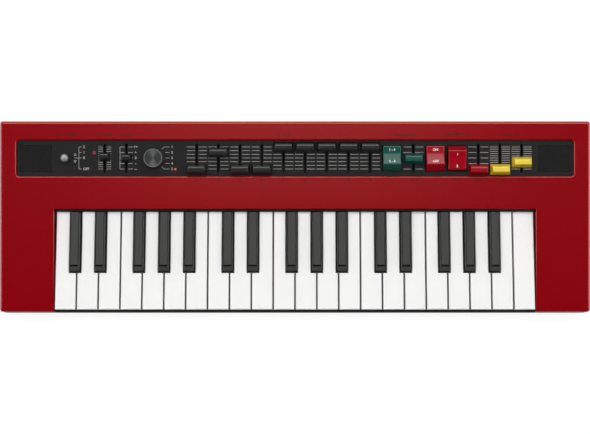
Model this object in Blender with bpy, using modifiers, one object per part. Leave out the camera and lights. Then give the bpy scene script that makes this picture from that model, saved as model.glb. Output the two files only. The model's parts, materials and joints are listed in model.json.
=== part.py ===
"""A compact three-octave electronic organ with drawbar sliders, built as separate parts.

Metres, +Z up, +Y to the back, +X to the player's right. The origin lies on the surface that the
feet stand on, below the middle of the instrument. The top of the case is one sloping plane, and the
controls are placed in a frame that lies in it: x along the case, y up the slope, z out of the panel.
"""

import math

import bmesh
import bpy
from mathutils import Matrix, Vector

# Fits
SEAT_GAP = 0.0003
RUNNING_GAP = 0.0005
OVERLAP = 0.0010
MERGE_DISTANCE = 0.00001

# White keys
OCTAVES = 3
WHITE_PITCH = 0.0197
WHITE_GAP = 0.0009
WHITE_VISIBLE = 0.0883
WHITE_THICK = 0.0080
WHITE_CHAMFER = 0.0006
KEY_LIP = 0.0010
APRON_THICK = 0.0016
APRON_DROP = 0.0045
KEY_PROUD = 0.0019
KEY_DIP = 0.0062

# Black keys
BLACK_WIDTH = 0.0098
BLACK_TOP_WIDTH = 0.0078
BLACK_HEIGHT = 0.0072
BLACK_VISIBLE = 0.0549
BLACK_SLOPE_RUN = 0.0051
BLACK_REAR_RUN = 0.0003
BLACK_SINK = 0.0004
BLACK_GROUP_PITCH = 0.0227

# Key pivots
PIVOT_RISE = 0.0030
PIVOT_RAIL = 0.0020
TAIL_END = 0.0035
TAIL_CLEARANCE = 0.0024

# Case
CHEEK_WIDTH = 0.0488
KEY_SIDE_GAP = 0.0005
FRONT_LIP = 0.0018
STRIP_DEPTH = 0.0017
DECK_DEPTH = 0.0784
FRONT_TOP = 0.0365
DECK_RISE = 0.0210
WALL = 0.0025
EDGE_RADIUS = 0.0022
REAR_EDGE_RADIUS = 0.0032
SHARP_TURN = math.radians(40)
EDGE_SEGMENTS = 3
PARTING_HEIGHT = 0.0140
BASE_INSET = 0.0010
SLIP_THICK = 0.0012
SLIP_DROP = 0.0120

# Feet
FOOT_HEIGHT = 0.0030
FOOT_RADIUS = 0.0080
FOOT_INSET_X = 0.0360
FOOT_INSET_Y = 0.0240

# Control panel
PANEL_SIDE_MARGIN = 0.0148
PANEL_REAR_MARGIN = 0.0172
PANEL_OPENING = 0.0324
PANEL_CORNER = 0.0027
PANEL_CHAMFER = 0.0016
PANEL_LAP = 0.0034
PANEL_THICK = 0.0020

# Places along the panel, counted in control pitches from the first, which is beside the lever
LEVER_MARGIN = 0.0441
FIRST_MARGIN = 0.0452
LAST_MARGIN = 0.0466
VOLUME_PLACE = 1.75
OCTAVE_PLACE = 2.75
KNOB_PLACE = 4.02
DRAWBAR_PLACE = 6
DRAWBARS = 9
LAST_PLACE = 21

# Sliders
SLIDER_TRAVEL = 0.0200
STEM_WIDTH = 0.0016
STEM_DEPTH = 0.0040
STEM_DROP = 0.0085
SLOT_END_GAP = 0.0008
CAP_SPACING = 0.0016
CAP_DEPTH = 0.0096
CAP_LIFT = 0.0009
CAP_PLATE = 0.0006
CAP_HEIGHT = 0.0090
CREST_SHARE = 0.48
CREST_BACK_SHARE = 0.083
CREST_TAPER = 0.0015
SMALL_CAP_WIDTH = 0.0100
SMALL_CAP_DEPTH = 0.0074
SMALL_CAP_HEIGHT = 0.0070
TIE_BAR_DEPTH = 0.0034

# Slider places up the slope from mid travel, as the photograph shows them set
VOLUME_SET = 0.0018
OCTAVE_SET = 0.0008
DRAWBAR_OUT = -0.0100
DRAWBAR_TWO_SET = 0.0053
DRAWBAR_IN = 0.0100
VIBRATO_SET = -0.0002
EFFECT_DOWN = -0.0100
REVERB_SET = -0.0034

# Rockers
ROCKER_SPACING = 0.0031
ROCKER_LENGTH = 0.0232
ROCKER_REAR_CREST = 0.0092
ROCKER_FRONT_CREST = 0.0083
ROCKER_PIVOT_DROP = 0.0030
ROCKER_END_HEIGHT = 0.0004
ROCKER_CREST_HEIGHT = 0.0100
ROCKER_HOLLOW = 0.00095
ROCKER_HOLLOW_STEPS = 6
ROCKER_BOTTOM = 0.0030
ROCKER_BOTTOM_LENGTH = 0.0160
ROCKER_TILT = math.radians(13)

# Knob and lever
KNOB_RADIUS = 0.0086
KNOB_TOP_RADIUS = 0.0083
KNOB_HEIGHT = 0.0094
KNOB_CHAMFER = 0.0005
KNOB_LIFT = 0.0008
KNOB_DISH = 0.0004
SHAFT_RADIUS = 0.0030
SHAFT_DROP = 0.0060
LEVER_BALL = 0.0036
LEVER_REACH = 0.0118
LEVER_NECK = 0.0014
LEVER_ROOT = 0.0020
LEVER_PIVOT_DROP = 0.0060
LEVER_SWING = math.radians(11)
TURNED_STEPS = 20

# Circuit board and what is soldered to it
BOARD_DROP = 0.0110
BOARD_THICK = 0.0016
BOARD_DEPTH = 0.0350
BOARD_END = 0.0096
TRACK_WIDTH = 0.0084
TRACK_MARGIN = 0.0028
TRACK_DROP = 0.0050
TRACK_SLOT_DROP = 0.0094
SWITCH_BASE_DROP = 0.0083
SWITCH_BASE_WIDTH = 0.0140
SWITCH_BASE_LENGTH = 0.0190
SWITCH_RIDGE = 0.0012
SELECTOR_SIZE = 0.0130

# Rear sockets, with their places along the case
SOCKET_OUT = 0.0022
SOCKET_BODY = 0.0150
SOCKET_LENGTH = 0.0200
SOCKET_DROP = 0.0085
SOCKET_RADIUS = 0.0056
JACK_BORE = 0.0064
JACK_DEPTH = 0.0180
DATA_PORT_WIDTH = 0.0086
DATA_PORT_HEIGHT = 0.0076
DATA_PORT_FRAME = 0.0018
JACK_PLACES = (-0.150, -0.115, -0.060, 0.045, 0.165)
DATA_PORT_PLACE = 0.115
REAR_PLATE_MARGIN = 0.0250
REAR_PLATE_RISE = 0.0095

# Speakers and grille
SPEAKER_INSET = 0.0170
SPEAKER_RADIUS = 0.0160
SPEAKER_FLANGE = 0.0014
SPEAKER_CONE_RADIUS = 0.0130
SPEAKER_CONE_DEPTH = 0.0035
SPEAKER_NECK_RADIUS = 0.0080
SPEAKER_MAGNET_RADIUS = 0.0095
SPEAKER_DEPTH = 0.0115
SPEAKER_MAGNET = 0.0050
GRILLE_PITCH = 0.0036
GRILLE_HOLE = 0.0019
GRILLE_COLUMNS = 8
GRILLE_ROWS = 7

# Key frame
FRAME_PLATE = 0.0022
FRONT_RAIL_SETBACK = 0.0070
FRONT_RAIL = 0.0040
BRIDGE_DEPTH = 0.0060
BRIDGE_CLEARANCE = 0.0008
BRIDGE_POST = 0.0030

# Worked out from the above
WHITE_NOTES = "cdefgab"
WHITE_COUNT = OCTAVES * len(WHITE_NOTES) + 1
KEYS_HALF = WHITE_COUNT * WHITE_PITCH / 2
GROUP_SPREAD = BLACK_GROUP_PITCH - WHITE_PITCH
BLACK_OFFSETS = {
    "c": -GROUP_SPREAD / 2,
    "d": GROUP_SPREAD / 2,
    "f": -GROUP_SPREAD,
    "g": 0.0,
    "a": GROUP_SPREAD,
}

OPENING_HALF = KEYS_HALF + KEY_SIDE_GAP
CASE_HALF = OPENING_HALF + CHEEK_WIDTH
CASE_DEPTH = FRONT_LIP + WHITE_VISIBLE + STRIP_DEPTH + DECK_DEPTH
FRONT_Y = -(CASE_DEPTH + SOCKET_OUT) / 2
REAR_Y = FRONT_Y + CASE_DEPTH
KEY_FRONT_Y = FRONT_Y + FRONT_LIP
STRIP_Y = KEY_FRONT_Y + WHITE_VISIBLE
DECK_EDGE_Y = STRIP_Y + STRIP_DEPTH
TILT = math.atan2(DECK_RISE, CASE_DEPTH)
UP_SLOPE = Vector((0, math.cos(TILT), math.sin(TILT)))
OUT_OF_PANEL = Vector((0, -math.sin(TILT), math.cos(TILT)))
WALL_UPRIGHT = WALL / math.cos(TILT)

BASE_BOTTOM = FOOT_HEIGHT
FLOOR_TOP = BASE_BOTTOM + WALL
BASE_TOP = PARTING_HEIGHT - SEAT_GAP

PANEL_HALF = CASE_HALF - PANEL_SIDE_MARGIN
PANEL_DROP = WALL + SEAT_GAP
ROW_BACK = PANEL_REAR_MARGIN + PANEL_OPENING / 2
ROW_ON_DECK = Vector((0, REAR_Y, FRONT_TOP + DECK_RISE)) - UP_SLOPE * ROW_BACK
ROW_CENTRE = ROW_ON_DECK - OUT_OF_PANEL * PANEL_DROP
LEVER_X = LEVER_MARGIN - PANEL_HALF
FIRST_X = FIRST_MARGIN - PANEL_HALF
LAST_X = PANEL_HALF - LAST_MARGIN
CONTROL_PITCH = (LAST_X - FIRST_X) / LAST_PLACE
CAP_WIDTH = CONTROL_PITCH - CAP_SPACING
ROCKER_WIDTH = CONTROL_PITCH - ROCKER_SPACING
SLOT_LENGTH = SLIDER_TRAVEL + STEM_DEPTH + 2 * SLOT_END_GAP
SLOT_WIDTH = STEM_WIDTH + 2 * SEAT_GAP
WINDOW_LENGTH = 2 * math.hypot(ROCKER_LENGTH / 2, ROCKER_END_HEIGHT) + 2 * SEAT_GAP
WINDOW_WIDTH = ROCKER_WIDTH + 2 * RUNNING_GAP
LEVER_SLOT = 2 * (LEVER_ROOT + LEVER_PIVOT_DROP * math.sin(LEVER_SWING) + RUNNING_GAP)

WHITE_TOP = FRONT_TOP + KEY_PROUD
KEY_BOTTOM = WHITE_TOP - WHITE_THICK
PIVOT_Z = KEY_BOTTOM + PIVOT_RISE
BOARD_BOTTOM = BOARD_DROP + BOARD_THICK
BOARD_FRONT_Y = (ROW_CENTRE - UP_SLOPE * BOARD_DEPTH / 2 - OUT_OF_PANEL * BOARD_DROP).y
TAIL_Y = BOARD_FRONT_Y - TAIL_CLEARANCE
PIVOT_Y = TAIL_Y - TAIL_END
KEY_SWING = math.asin(KEY_DIP / (PIVOT_Y - KEY_FRONT_Y))

SOCKET_Y = REAR_Y - WALL - SEAT_GAP - SOCKET_LENGTH
SOCKET_BACK_Y = REAR_Y + SOCKET_OUT
REAR_PLATE_HALF = max(abs(x) for x in JACK_PLACES) + REAR_PLATE_MARGIN


def deck_height(y):
    """Height of the sloping top of the case at a distance along the case's depth."""
    return FRONT_TOP + (y - FRONT_Y) * math.tan(TILT)


def place_x(place):
    """Distance along the case of a numbered place on the control panel."""
    return FIRST_X + place * CONTROL_PITCH


BOARD_UNDER_SOCKET = deck_height(SOCKET_Y) - (PANEL_DROP + BOARD_BOTTOM) / math.cos(TILT)
SOCKET_TOP = BOARD_UNDER_SOCKET + OVERLAP
SOCKET_Z = SOCKET_TOP - SOCKET_DROP
REAR_PLATE_TOP = SOCKET_Z + REAR_PLATE_RISE

SLIDERS = {
    "volume_slider": (VOLUME_PLACE, VOLUME_SET),
    "octave_slider": (OCTAVE_PLACE, OCTAVE_SET),
    "drawbar_1": (DRAWBAR_PLACE, DRAWBAR_OUT),
    "drawbar_2": (DRAWBAR_PLACE + 1, DRAWBAR_TWO_SET),
    "drawbar_3": (DRAWBAR_PLACE + 2, DRAWBAR_OUT),
    "drawbar_4": (DRAWBAR_PLACE + 3, DRAWBAR_OUT),
    "vibrato_slider": (DRAWBAR_PLACE + DRAWBARS + 1, VIBRATO_SET),
    "percussion_slider": (DRAWBAR_PLACE + DRAWBARS + 4, EFFECT_DOWN),
    "drive_slider": (DRAWBAR_PLACE + DRAWBARS + 5, EFFECT_DOWN),
    "reverb_slider": (DRAWBAR_PLACE + DRAWBARS + 6, REVERB_SET),
}
SMALL_SLIDERS = ("volume_slider", "octave_slider")
TIED_PLACES = tuple(DRAWBAR_PLACE + number for number in range(4, DRAWBARS))
ROCKERS = {
    "vibrato_rocker": (DRAWBAR_PLACE + DRAWBARS, -ROCKER_TILT),
    "percussion_rocker": (DRAWBAR_PLACE + DRAWBARS + 2, -ROCKER_TILT),
    "percussion_type_rocker": (DRAWBAR_PLACE + DRAWBARS + 3, ROCKER_TILT),
}

COLOURS = {
    "red gloss plastic": ((0.25, 0.004, 0.008), 0.18, 0.0),
    "black panel": ((0.022, 0.022, 0.024), 0.35, 0.0),
    "black base plastic": ((0.018, 0.018, 0.019), 0.55, 0.0),
    "ivory white plastic": ((0.88, 0.88, 0.86), 0.22, 0.0),
    "black key plastic": ((0.02, 0.02, 0.02), 0.30, 0.0),
    "slate cap plastic": ((0.03, 0.032, 0.035), 0.35, 0.0),
    "green cap plastic": ((0.01, 0.09, 0.06), 0.35, 0.0),
    "red cap plastic": ((0.36, 0.006, 0.012), 0.30, 0.0),
    "yellow cap plastic": ((0.78, 0.50, 0.04), 0.35, 0.0),
    "bright metal": ((0.72, 0.72, 0.73), 0.22, 1.0),
    "green circuit board": ((0.02, 0.12, 0.05), 0.50, 0.0),
    "dark speaker paper": ((0.03, 0.03, 0.03), 0.80, 0.0),
    "grey frame plastic": ((0.03, 0.03, 0.032), 0.60, 0.0),
}


def clear_scene():
    for old in list(bpy.data.objects):
        bpy.data.objects.remove(old, do_unlink=True)


def new_collection(name):
    collection = bpy.data.collections.new(name)
    bpy.context.scene.collection.children.link(collection)
    return collection


def material(name):
    if name in bpy.data.materials:
        return bpy.data.materials[name]
    colour, roughness, metallic = COLOURS[name]
    made = bpy.data.materials.new(name)
    made.use_nodes = True
    shader = made.node_tree.nodes["Principled BSDF"]
    shader.inputs["Base Color"].default_value = (*colour, 1.0)
    shader.inputs["Roughness"].default_value = roughness
    shader.inputs["Metallic"].default_value = metallic
    return made


def new_object(name, mesh, parent=None, place=(0, 0, 0)):
    made = bpy.data.objects.new(name, mesh)
    made.parent = parent
    made.location = place
    return made


def mesh_from(name, shape):
    bmesh.ops.recalc_face_normals(shape, faces=shape.faces[:])
    mesh = bpy.data.meshes.new(name)
    shape.to_mesh(mesh)
    shape.free()
    return mesh


def part(name, shape, colour, parent=None, place=(0, 0, 0)):
    """A named piece of the instrument, in its own material."""
    made = new_object(name, mesh_from(name, shape), parent, place)
    made.data.materials.append(material(colour))
    bpy.data.collections["electronic organ"].objects.link(made)
    return made


def helper(name, shape, parent=None, place=(0, 0, 0)):
    """A shape that only cuts or joins other pieces."""
    made = new_object(name, mesh_from(name, shape), parent, place)
    bpy.data.collections["cutters"].objects.link(made)
    made.hide_render = True
    made.display_type = "WIRE"
    return made


def combine(piece, other, operation):
    step = piece.modifiers.new(other.name, "BOOLEAN")
    step.operation = operation
    step.object = other


def cut(piece, *cutters):
    for cutter in cutters:
        combine(piece, cutter, "DIFFERENCE")


def join(piece, *others):
    for other in others:
        combine(piece, other, "UNION")


def add_box(shape, x, y, z):
    """Adds a box between the low and high value along each axis, and gives its corners."""
    low = Vector((x[0], y[0], z[0]))
    high = Vector((x[1], y[1], z[1]))
    place = Matrix.Translation((low + high) / 2) @ Matrix.Diagonal((*(high - low), 1))
    return bmesh.ops.create_cube(shape, size=1, matrix=place)["verts"]


def box(x, y, z):
    shape = bmesh.new()
    add_box(shape, x, y, z)
    return shape


def add_cylinder_y(shape, x, y, z, radius, segments=16):
    """Adds a cylinder that lies along the case's depth, between two values of y."""
    turn = Matrix.Rotation(math.pi / 2, 4, "X")
    place = Matrix.Translation((x, (y[0] + y[1]) / 2, z)) @ turn
    bmesh.ops.create_cone(
        shape, cap_ends=True, segments=segments, radius1=radius, radius2=radius,
        depth=y[1] - y[0], matrix=place,
    )


def add_wedge(shape, x, y, bottom, drop):
    """Adds a box whose top follows the deck, lowered by a given drop."""
    for corner in add_box(shape, x, y, (bottom, FRONT_TOP)):
        if corner.co.z > (bottom + FRONT_TOP) / 2:
            corner.co.z = deck_height(corner.co.y) - drop


def grow(shape, face):
    """Draws a face out into a new one and gives the new face's corners, still to be moved."""
    return list(bmesh.ops.extrude_discrete_faces(shape, faces=[face])["faces"][0].verts)


def stacked(sections):
    """One solid through rectangles of a given width and depth at rising heights."""
    shape = bmesh.new()
    corners = bmesh.ops.create_cube(shape, size=1)["verts"]
    for corner in corners:
        width, depth, height = sections[0] if corner.co.z < 0 else sections[1]
        corner.co.x *= width
        corner.co.y *= depth
        corner.co.z = height
    for below, section in zip(sections[1:], sections[2:]):
        shape.normal_update()
        top = max(shape.faces, key=lambda face: face.calc_center_median().z)
        for corner in grow(shape, top):
            corner.co.x *= section[0] / below[0]
            corner.co.y *= section[1] / below[1]
            corner.co.z = section[2]
    return shape


def outlined(points, bottom, top):
    """A flat plate of the given outline between two heights."""
    curve = bpy.data.curves.new("outline", "CURVE")
    curve.dimensions = "2D"
    curve.fill_mode = "BOTH"
    curve.extrude = (top - bottom) / 2
    line = curve.splines.new("POLY")
    line.points.add(len(points) - 1)
    for point, (x, y) in zip(line.points, points):
        point.co = (x, y, 0, 1)
    line.use_cyclic_u = True
    guide = bpy.data.objects.new("outline", curve)
    bpy.data.collections["cutters"].objects.link(guide)
    graph = bpy.context.evaluated_depsgraph_get()
    mesh = bpy.data.meshes.new_from_object(guide.evaluated_get(graph))
    shape = bmesh.new()
    shape.from_mesh(mesh)
    bmesh.ops.translate(shape, verts=shape.verts[:], vec=(0, 0, (bottom + top) / 2))
    bmesh.ops.remove_doubles(shape, verts=shape.verts[:], dist=MERGE_DISTANCE)
    bmesh.ops.dissolve_limit(
        shape, angle_limit=math.radians(1), verts=shape.verts[:], edges=shape.edges[:]
    )
    bpy.data.objects.remove(guide, do_unlink=True)
    bpy.data.curves.remove(curve)
    bpy.data.meshes.remove(mesh)
    return shape


def turned(name, profile, colour, parent, place):
    """A piece turned about its own z axis, from a profile of radius and height, top to bottom."""
    mesh = bpy.data.meshes.new(name)
    points = [(radius, 0, height) for radius, height in profile]
    edges = [(index, index + 1) for index in range(len(points) - 1)]
    mesh.from_pydata(points, edges, [])
    made = new_object(name, mesh, parent, place)
    mesh.materials.append(material(colour))
    bpy.data.collections["electronic organ"].objects.link(made)
    spin = made.modifiers.new("turn", "SCREW")
    spin.steps = TURNED_STEPS
    spin.render_steps = TURNED_STEPS
    spin.use_merge_vertices = True
    spin.merge_threshold = MERGE_DISTANCE
    spin.use_smooth_shade = True
    return made


def empty(name, place, turn=0.0):
    made = bpy.data.objects.new(name, None)
    made.location = place
    made.rotation_euler = (turn, 0, 0)
    bpy.data.collections["electronic organ"].objects.link(made)
    return made


def key_layout():
    """Each key in order from the left: its name, then its white slot or its black middle line."""
    keys = []
    for slot in range(WHITE_COUNT):
        note = WHITE_NOTES[slot % len(WHITE_NOTES)]
        keys.append((note, slot, None))
        if note in BLACK_OFFSETS and slot + 1 < WHITE_COUNT:
            line = (slot + 1) * WHITE_PITCH - KEYS_HALF + BLACK_OFFSETS[note]
            keys.append((note + "_sharp", None, line))
    return [(f"key_{number:02d}_{key[0]}", *key[1:]) for number, key in enumerate(keys, 1)]


def white_outline(slot, black_lines):
    """The white key seen from above, notched for the black keys beside it."""
    left = slot * WHITE_PITCH - KEYS_HALF + WHITE_GAP / 2
    right = left + WHITE_PITCH - WHITE_GAP
    notch_y = STRIP_Y - BLACK_VISIBLE - RUNNING_GAP
    reach = BLACK_WIDTH / 2 + RUNNING_GAP
    tail_left = max([line + reach for line in black_lines if abs(line - left) < reach] + [left])
    tail_right = min([line - reach for line in black_lines if abs(line - right) < reach] + [right])
    points = [(left, KEY_FRONT_Y), (right, KEY_FRONT_Y)]
    if tail_right < right:
        points += [(right, notch_y), (tail_right, notch_y)]
    points += [(tail_right, TAIL_Y), (tail_left, TAIL_Y)]
    if tail_left > left:
        points += [(tail_left, notch_y), (left, notch_y)]
    return points


def chamfer_top(shape, width):
    """Breaks the edges round the highest flat face."""
    shape.normal_update()
    top = max(shape.faces, key=lambda face: face.calc_center_median().z)
    bmesh.ops.bevel(
        shape, geom=list(top.edges), offset=width, offset_type="OFFSET", segments=1, affect="EDGES"
    )


def make_white_key(name, slot, black_lines, hinge, pivot_slot):
    outline = white_outline(slot, black_lines)
    shape = outlined(outline, KEY_BOTTOM, WHITE_TOP)
    chamfer_top(shape, WHITE_CHAMFER)
    bmesh.ops.translate(shape, verts=shape.verts[:], vec=-hinge.location)
    key = part(name, shape, "ivory white plastic", hinge)
    apron = box(
        (outline[0][0] + RUNNING_GAP, outline[1][0] - RUNNING_GAP),
        (KEY_FRONT_Y + KEY_LIP, KEY_FRONT_Y + KEY_LIP + APRON_THICK),
        (KEY_BOTTOM - APRON_DROP, KEY_BOTTOM + OVERLAP),
    )
    join(key, helper(name + "_apron", apron))
    cut(key, pivot_slot)


def make_black_key(name, line, hinge, pivot_slot):
    """A body that reaches back to the pivot, with the tapered finger block on its front part."""
    front = STRIP_Y - BLACK_VISIBLE
    block_back = STRIP_Y - RUNNING_GAP
    base = WHITE_TOP - BLACK_SINK
    shape = bmesh.new()
    add_box(
        shape,
        (line - BLACK_WIDTH / 2, line + BLACK_WIDTH / 2),
        (front, TAIL_Y),
        (KEY_BOTTOM, base),
    )
    bmesh.ops.bisect_plane(
        shape, geom=shape.verts[:] + shape.edges[:] + shape.faces[:],
        plane_co=(0, block_back, 0), plane_no=(0, 1, 0),
    )
    shape.normal_update()
    tops = [face for face in shape.faces if face.normal.z > 0.5]
    block = min(tops, key=lambda face: face.calc_center_median().y)
    for corner in grow(shape, block):
        corner.co.x = line + (corner.co.x - line) * BLACK_TOP_WIDTH / BLACK_WIDTH
        corner.co.y += BLACK_SLOPE_RUN if corner.co.y < block_back - OVERLAP else -BLACK_REAR_RUN
        corner.co.z = WHITE_TOP + BLACK_HEIGHT
    chamfer_top(shape, WHITE_CHAMFER)
    bmesh.ops.translate(shape, verts=shape.verts[:], vec=-hinge.location)
    cut(part(name, shape, "black key plastic", hinge), pivot_slot)


def make_keys():
    """Every key hangs on one line, over a rail that its tail is slotted for."""
    hinge = empty("key_pivot_line", Vector((0, PIVOT_Y, PIVOT_Z)))
    rail_half = PIVOT_RAIL / 2 + RUNNING_GAP
    pivot_slot = helper(
        "pivot_slot",
        box(
            (-CASE_HALF, CASE_HALF),
            (PIVOT_Y - rail_half, PIVOT_Y + rail_half),
            (KEY_BOTTOM - OVERLAP, PIVOT_Z + SEAT_GAP),
        ),
    )
    layout = key_layout()
    black_lines = [line for _, _, line in layout if line is not None]
    for name, slot, line in layout:
        if line is None:
            make_white_key(name, slot, black_lines, hinge, pivot_slot)
        else:
            make_black_key(name, line, hinge, pivot_slot)


def make_upper_case(row):
    """The red shell: deck, cheeks and walls, open below and open for the keys and the panel."""
    shape = bmesh.new()
    add_wedge(shape, (-CASE_HALF, CASE_HALF), (FRONT_Y, REAR_Y), PARTING_HEIGHT, 0)
    rear_edge = max(shape.edges, key=lambda edge: sum(corner.co.z for corner in edge.verts))
    bmesh.ops.bevel(
        shape, geom=[rear_edge], offset=REAR_EDGE_RADIUS, offset_type="OFFSET",
        segments=EDGE_SEGMENTS, profile=0.5, affect="EDGES",
    )
    shape.normal_update()
    outer_edges = [
        edge for edge in shape.edges
        if any(corner.co.z > PARTING_HEIGHT + OVERLAP for corner in edge.verts)
        and edge.calc_face_angle(0) > SHARP_TURN
    ]
    bmesh.ops.bevel(
        shape, geom=outer_edges, offset=EDGE_RADIUS, offset_type="OFFSET",
        segments=EDGE_SEGMENTS, profile=0.5, affect="EDGES",
    )
    case = part("upper_case", shape, "red gloss plastic")
    below = PARTING_HEIGHT - OVERLAP

    opening = box(
        (-OPENING_HALF, OPENING_HALF),
        (FRONT_Y - OVERLAP, DECK_EDGE_Y),
        (below - OVERLAP, FRONT_TOP + DECK_RISE),
    )
    inner = CASE_HALF - WALL
    cheek = OPENING_HALF + WALL
    room = outlined(
        [
            (-inner, FRONT_Y + WALL), (-cheek, FRONT_Y + WALL),
            (-cheek, DECK_EDGE_Y - OVERLAP), (cheek, DECK_EDGE_Y - OVERLAP),
            (cheek, FRONT_Y + WALL), (inner, FRONT_Y + WALL),
            (inner, REAR_Y - WALL), (-inner, REAR_Y - WALL),
        ],
        below, FRONT_TOP,
    )
    for corner in room.verts:
        if corner.co.z > (below + FRONT_TOP) / 2:
            corner.co.z = deck_height(corner.co.y) - WALL_UPRIGHT
    rear_notch = box(
        (-REAR_PLATE_HALF, REAR_PLATE_HALF),
        (REAR_Y - 2 * WALL, REAR_Y + OVERLAP),
        (below - OVERLAP, REAR_PLATE_TOP),
    )
    cut(
        case,
        helper("key_opening", opening),
        helper("inner_room", room),
        helper("panel_window", panel_window(), row),
        helper("rear_notch", rear_notch),
    )


def panel_window():
    """The opening for the control panel, with round corners and a slanted rim."""
    half_depth = PANEL_OPENING / 2
    rim_foot = PANEL_DROP - PANEL_CHAMFER
    shape = box(
        (-PANEL_HALF, PANEL_HALF), (-half_depth, half_depth), (-PANEL_THICK, rim_foot)
    )
    corner_edges = [
        edge for edge in shape.edges
        if abs(edge.verts[0].co.z - edge.verts[1].co.z) > PANEL_THICK / 2
    ]
    bmesh.ops.bevel(
        shape, geom=corner_edges, offset=PANEL_CORNER, offset_type="OFFSET",
        segments=EDGE_SEGMENTS, profile=0.5, affect="EDGES",
    )
    shape.normal_update()
    top = max(shape.faces, key=lambda face: face.calc_center_median().z)
    flare = PANEL_CHAMFER + OVERLAP
    for corner in grow(shape, top):
        corner.co.x += math.copysign(flare, corner.co.x)
        corner.co.y += math.copysign(flare, corner.co.y)
        corner.co.z += flare
    return shape


def make_lower_case():
    """The black tray with its feet, the slip in front of the keys and the plate for the sockets."""
    half = CASE_HALF - BASE_INSET
    front = FRONT_Y + BASE_INSET
    back = REAR_Y - BASE_INSET
    tray = box((-half, half), (front, back), (BASE_BOTTOM, BASE_TOP))
    base = part("lower_case", tray, "black base plastic")
    room = box(
        (WALL - half, half - WALL), (front + WALL, back - WALL), (FLOOR_TOP, BASE_TOP + OVERLAP)
    )
    slip = box(
        (SEAT_GAP - OPENING_HALF, OPENING_HALF - SEAT_GAP),
        (FRONT_Y, FRONT_Y + SLIP_THICK),
        (BASE_BOTTOM + OVERLAP, WHITE_TOP - SLIP_DROP),
    )
    plate_half = REAR_PLATE_HALF - SEAT_GAP
    rear_plate = box(
        (-plate_half, plate_half),
        (REAR_Y - WALL, REAR_Y - SEAT_GAP),
        (BASE_BOTTOM + OVERLAP, REAR_PLATE_TOP - SEAT_GAP),
    )
    feet = bmesh.new()
    for x in (FOOT_INSET_X - CASE_HALF, CASE_HALF - FOOT_INSET_X):
        for y in (FRONT_Y + FOOT_INSET_Y, REAR_Y - FOOT_INSET_Y):
            height = FOOT_HEIGHT + OVERLAP
            bmesh.ops.create_cone(
                feet, cap_ends=True, segments=TURNED_STEPS, radius1=FOOT_RADIUS, radius2=FOOT_RADIUS,
                depth=height, matrix=Matrix.Translation((x, y, height / 2)),
            )
    cut(base, helper("base_room", room))
    join(base, helper("key_slip", slip), helper("rear_plate", rear_plate), helper("feet", feet))
    cut(base, helper("socket_holes", socket_shapes(SEAT_GAP, (REAR_Y - 2 * WALL, SOCKET_BACK_Y))))


def socket_shapes(clearance, along):
    """The outsides of the rear sockets, grown by a clearance."""
    shape = bmesh.new()
    for x in JACK_PLACES:
        add_cylinder_y(shape, x, along, SOCKET_Z, SOCKET_RADIUS + clearance)
    half_width = DATA_PORT_WIDTH / 2 + DATA_PORT_FRAME + clearance
    half_height = DATA_PORT_HEIGHT / 2 + DATA_PORT_FRAME + clearance
    add_box(
        shape,
        (DATA_PORT_PLACE - half_width, DATA_PORT_PLACE + half_width),
        along,
        (SOCKET_Z - half_height, SOCKET_Z + half_height),
    )
    return shape


def socket_bores():
    shape = bmesh.new()
    along = (SOCKET_BACK_Y - JACK_DEPTH, SOCKET_BACK_Y + OVERLAP)
    for x in JACK_PLACES:
        add_cylinder_y(shape, x, along, SOCKET_Z, JACK_BORE / 2)
    add_box(
        shape,
        (DATA_PORT_PLACE - DATA_PORT_WIDTH / 2, DATA_PORT_PLACE + DATA_PORT_WIDTH / 2),
        along,
        (SOCKET_Z - DATA_PORT_HEIGHT / 2, SOCKET_Z + DATA_PORT_HEIGHT / 2),
    )
    return shape


def make_control_panel(row):
    """The black plate under the deck, with a slot, window or hole for every control."""
    half_x = PANEL_HALF + PANEL_LAP
    half_y = PANEL_OPENING / 2 + PANEL_LAP
    plate = box((-half_x, half_x), (-half_y, half_y), (-PANEL_THICK, 0))
    panel = part("control_panel", plate, "black panel", row)
    through = (-PANEL_THICK - OVERLAP, OVERLAP)
    holes = bmesh.new()
    for place in [place for place, _ in SLIDERS.values()] + list(TIED_PLACES):
        add_box_at(holes, place_x(place), 0, SLOT_WIDTH, SLOT_LENGTH, through)
    for place, _ in ROCKERS.values():
        add_box_at(holes, place_x(place), 0, WINDOW_WIDTH, WINDOW_LENGTH, through)
    add_box_at(holes, LEVER_X, 0, 2 * (LEVER_ROOT + RUNNING_GAP), LEVER_SLOT, through)
    bmesh.ops.create_cone(
        holes, cap_ends=True, segments=TURNED_STEPS, radius1=SHAFT_RADIUS + RUNNING_GAP,
        radius2=SHAFT_RADIUS + RUNNING_GAP, depth=2 * (PANEL_THICK + OVERLAP),
        matrix=Matrix.Translation((place_x(KNOB_PLACE), 0, 0)),
    )
    for middle in (SPEAKER_INSET - PANEL_HALF, PANEL_HALF - SPEAKER_INSET):
        for column in range(GRILLE_COLUMNS):
            for line in range(GRILLE_ROWS):
                x = middle + (column - (GRILLE_COLUMNS - 1) / 2) * GRILLE_PITCH
                y = (line - (GRILLE_ROWS - 1) / 2) * GRILLE_PITCH
                add_box_at(holes, x, y, GRILLE_HOLE, GRILLE_HOLE, through)
    cut(panel, helper("panel_holes", holes, row))


def add_box_at(shape, x, y, width, depth, z):
    add_box(shape, (x - width / 2, x + width / 2), (y - depth / 2, y + depth / 2), z)


def cap_sections(width, depth, height):
    """A slider from the foot of its stem to the crest of its cap."""
    crest = width - 2 * CREST_TAPER
    return [
        (STEM_WIDTH, STEM_DEPTH, -STEM_DROP),
        (STEM_WIDTH, STEM_DEPTH, CAP_LIFT),
        (width, depth, CAP_LIFT),
        (width, depth, CAP_LIFT + CAP_PLATE),
        (crest, depth * CREST_SHARE, height),
    ]


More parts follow.
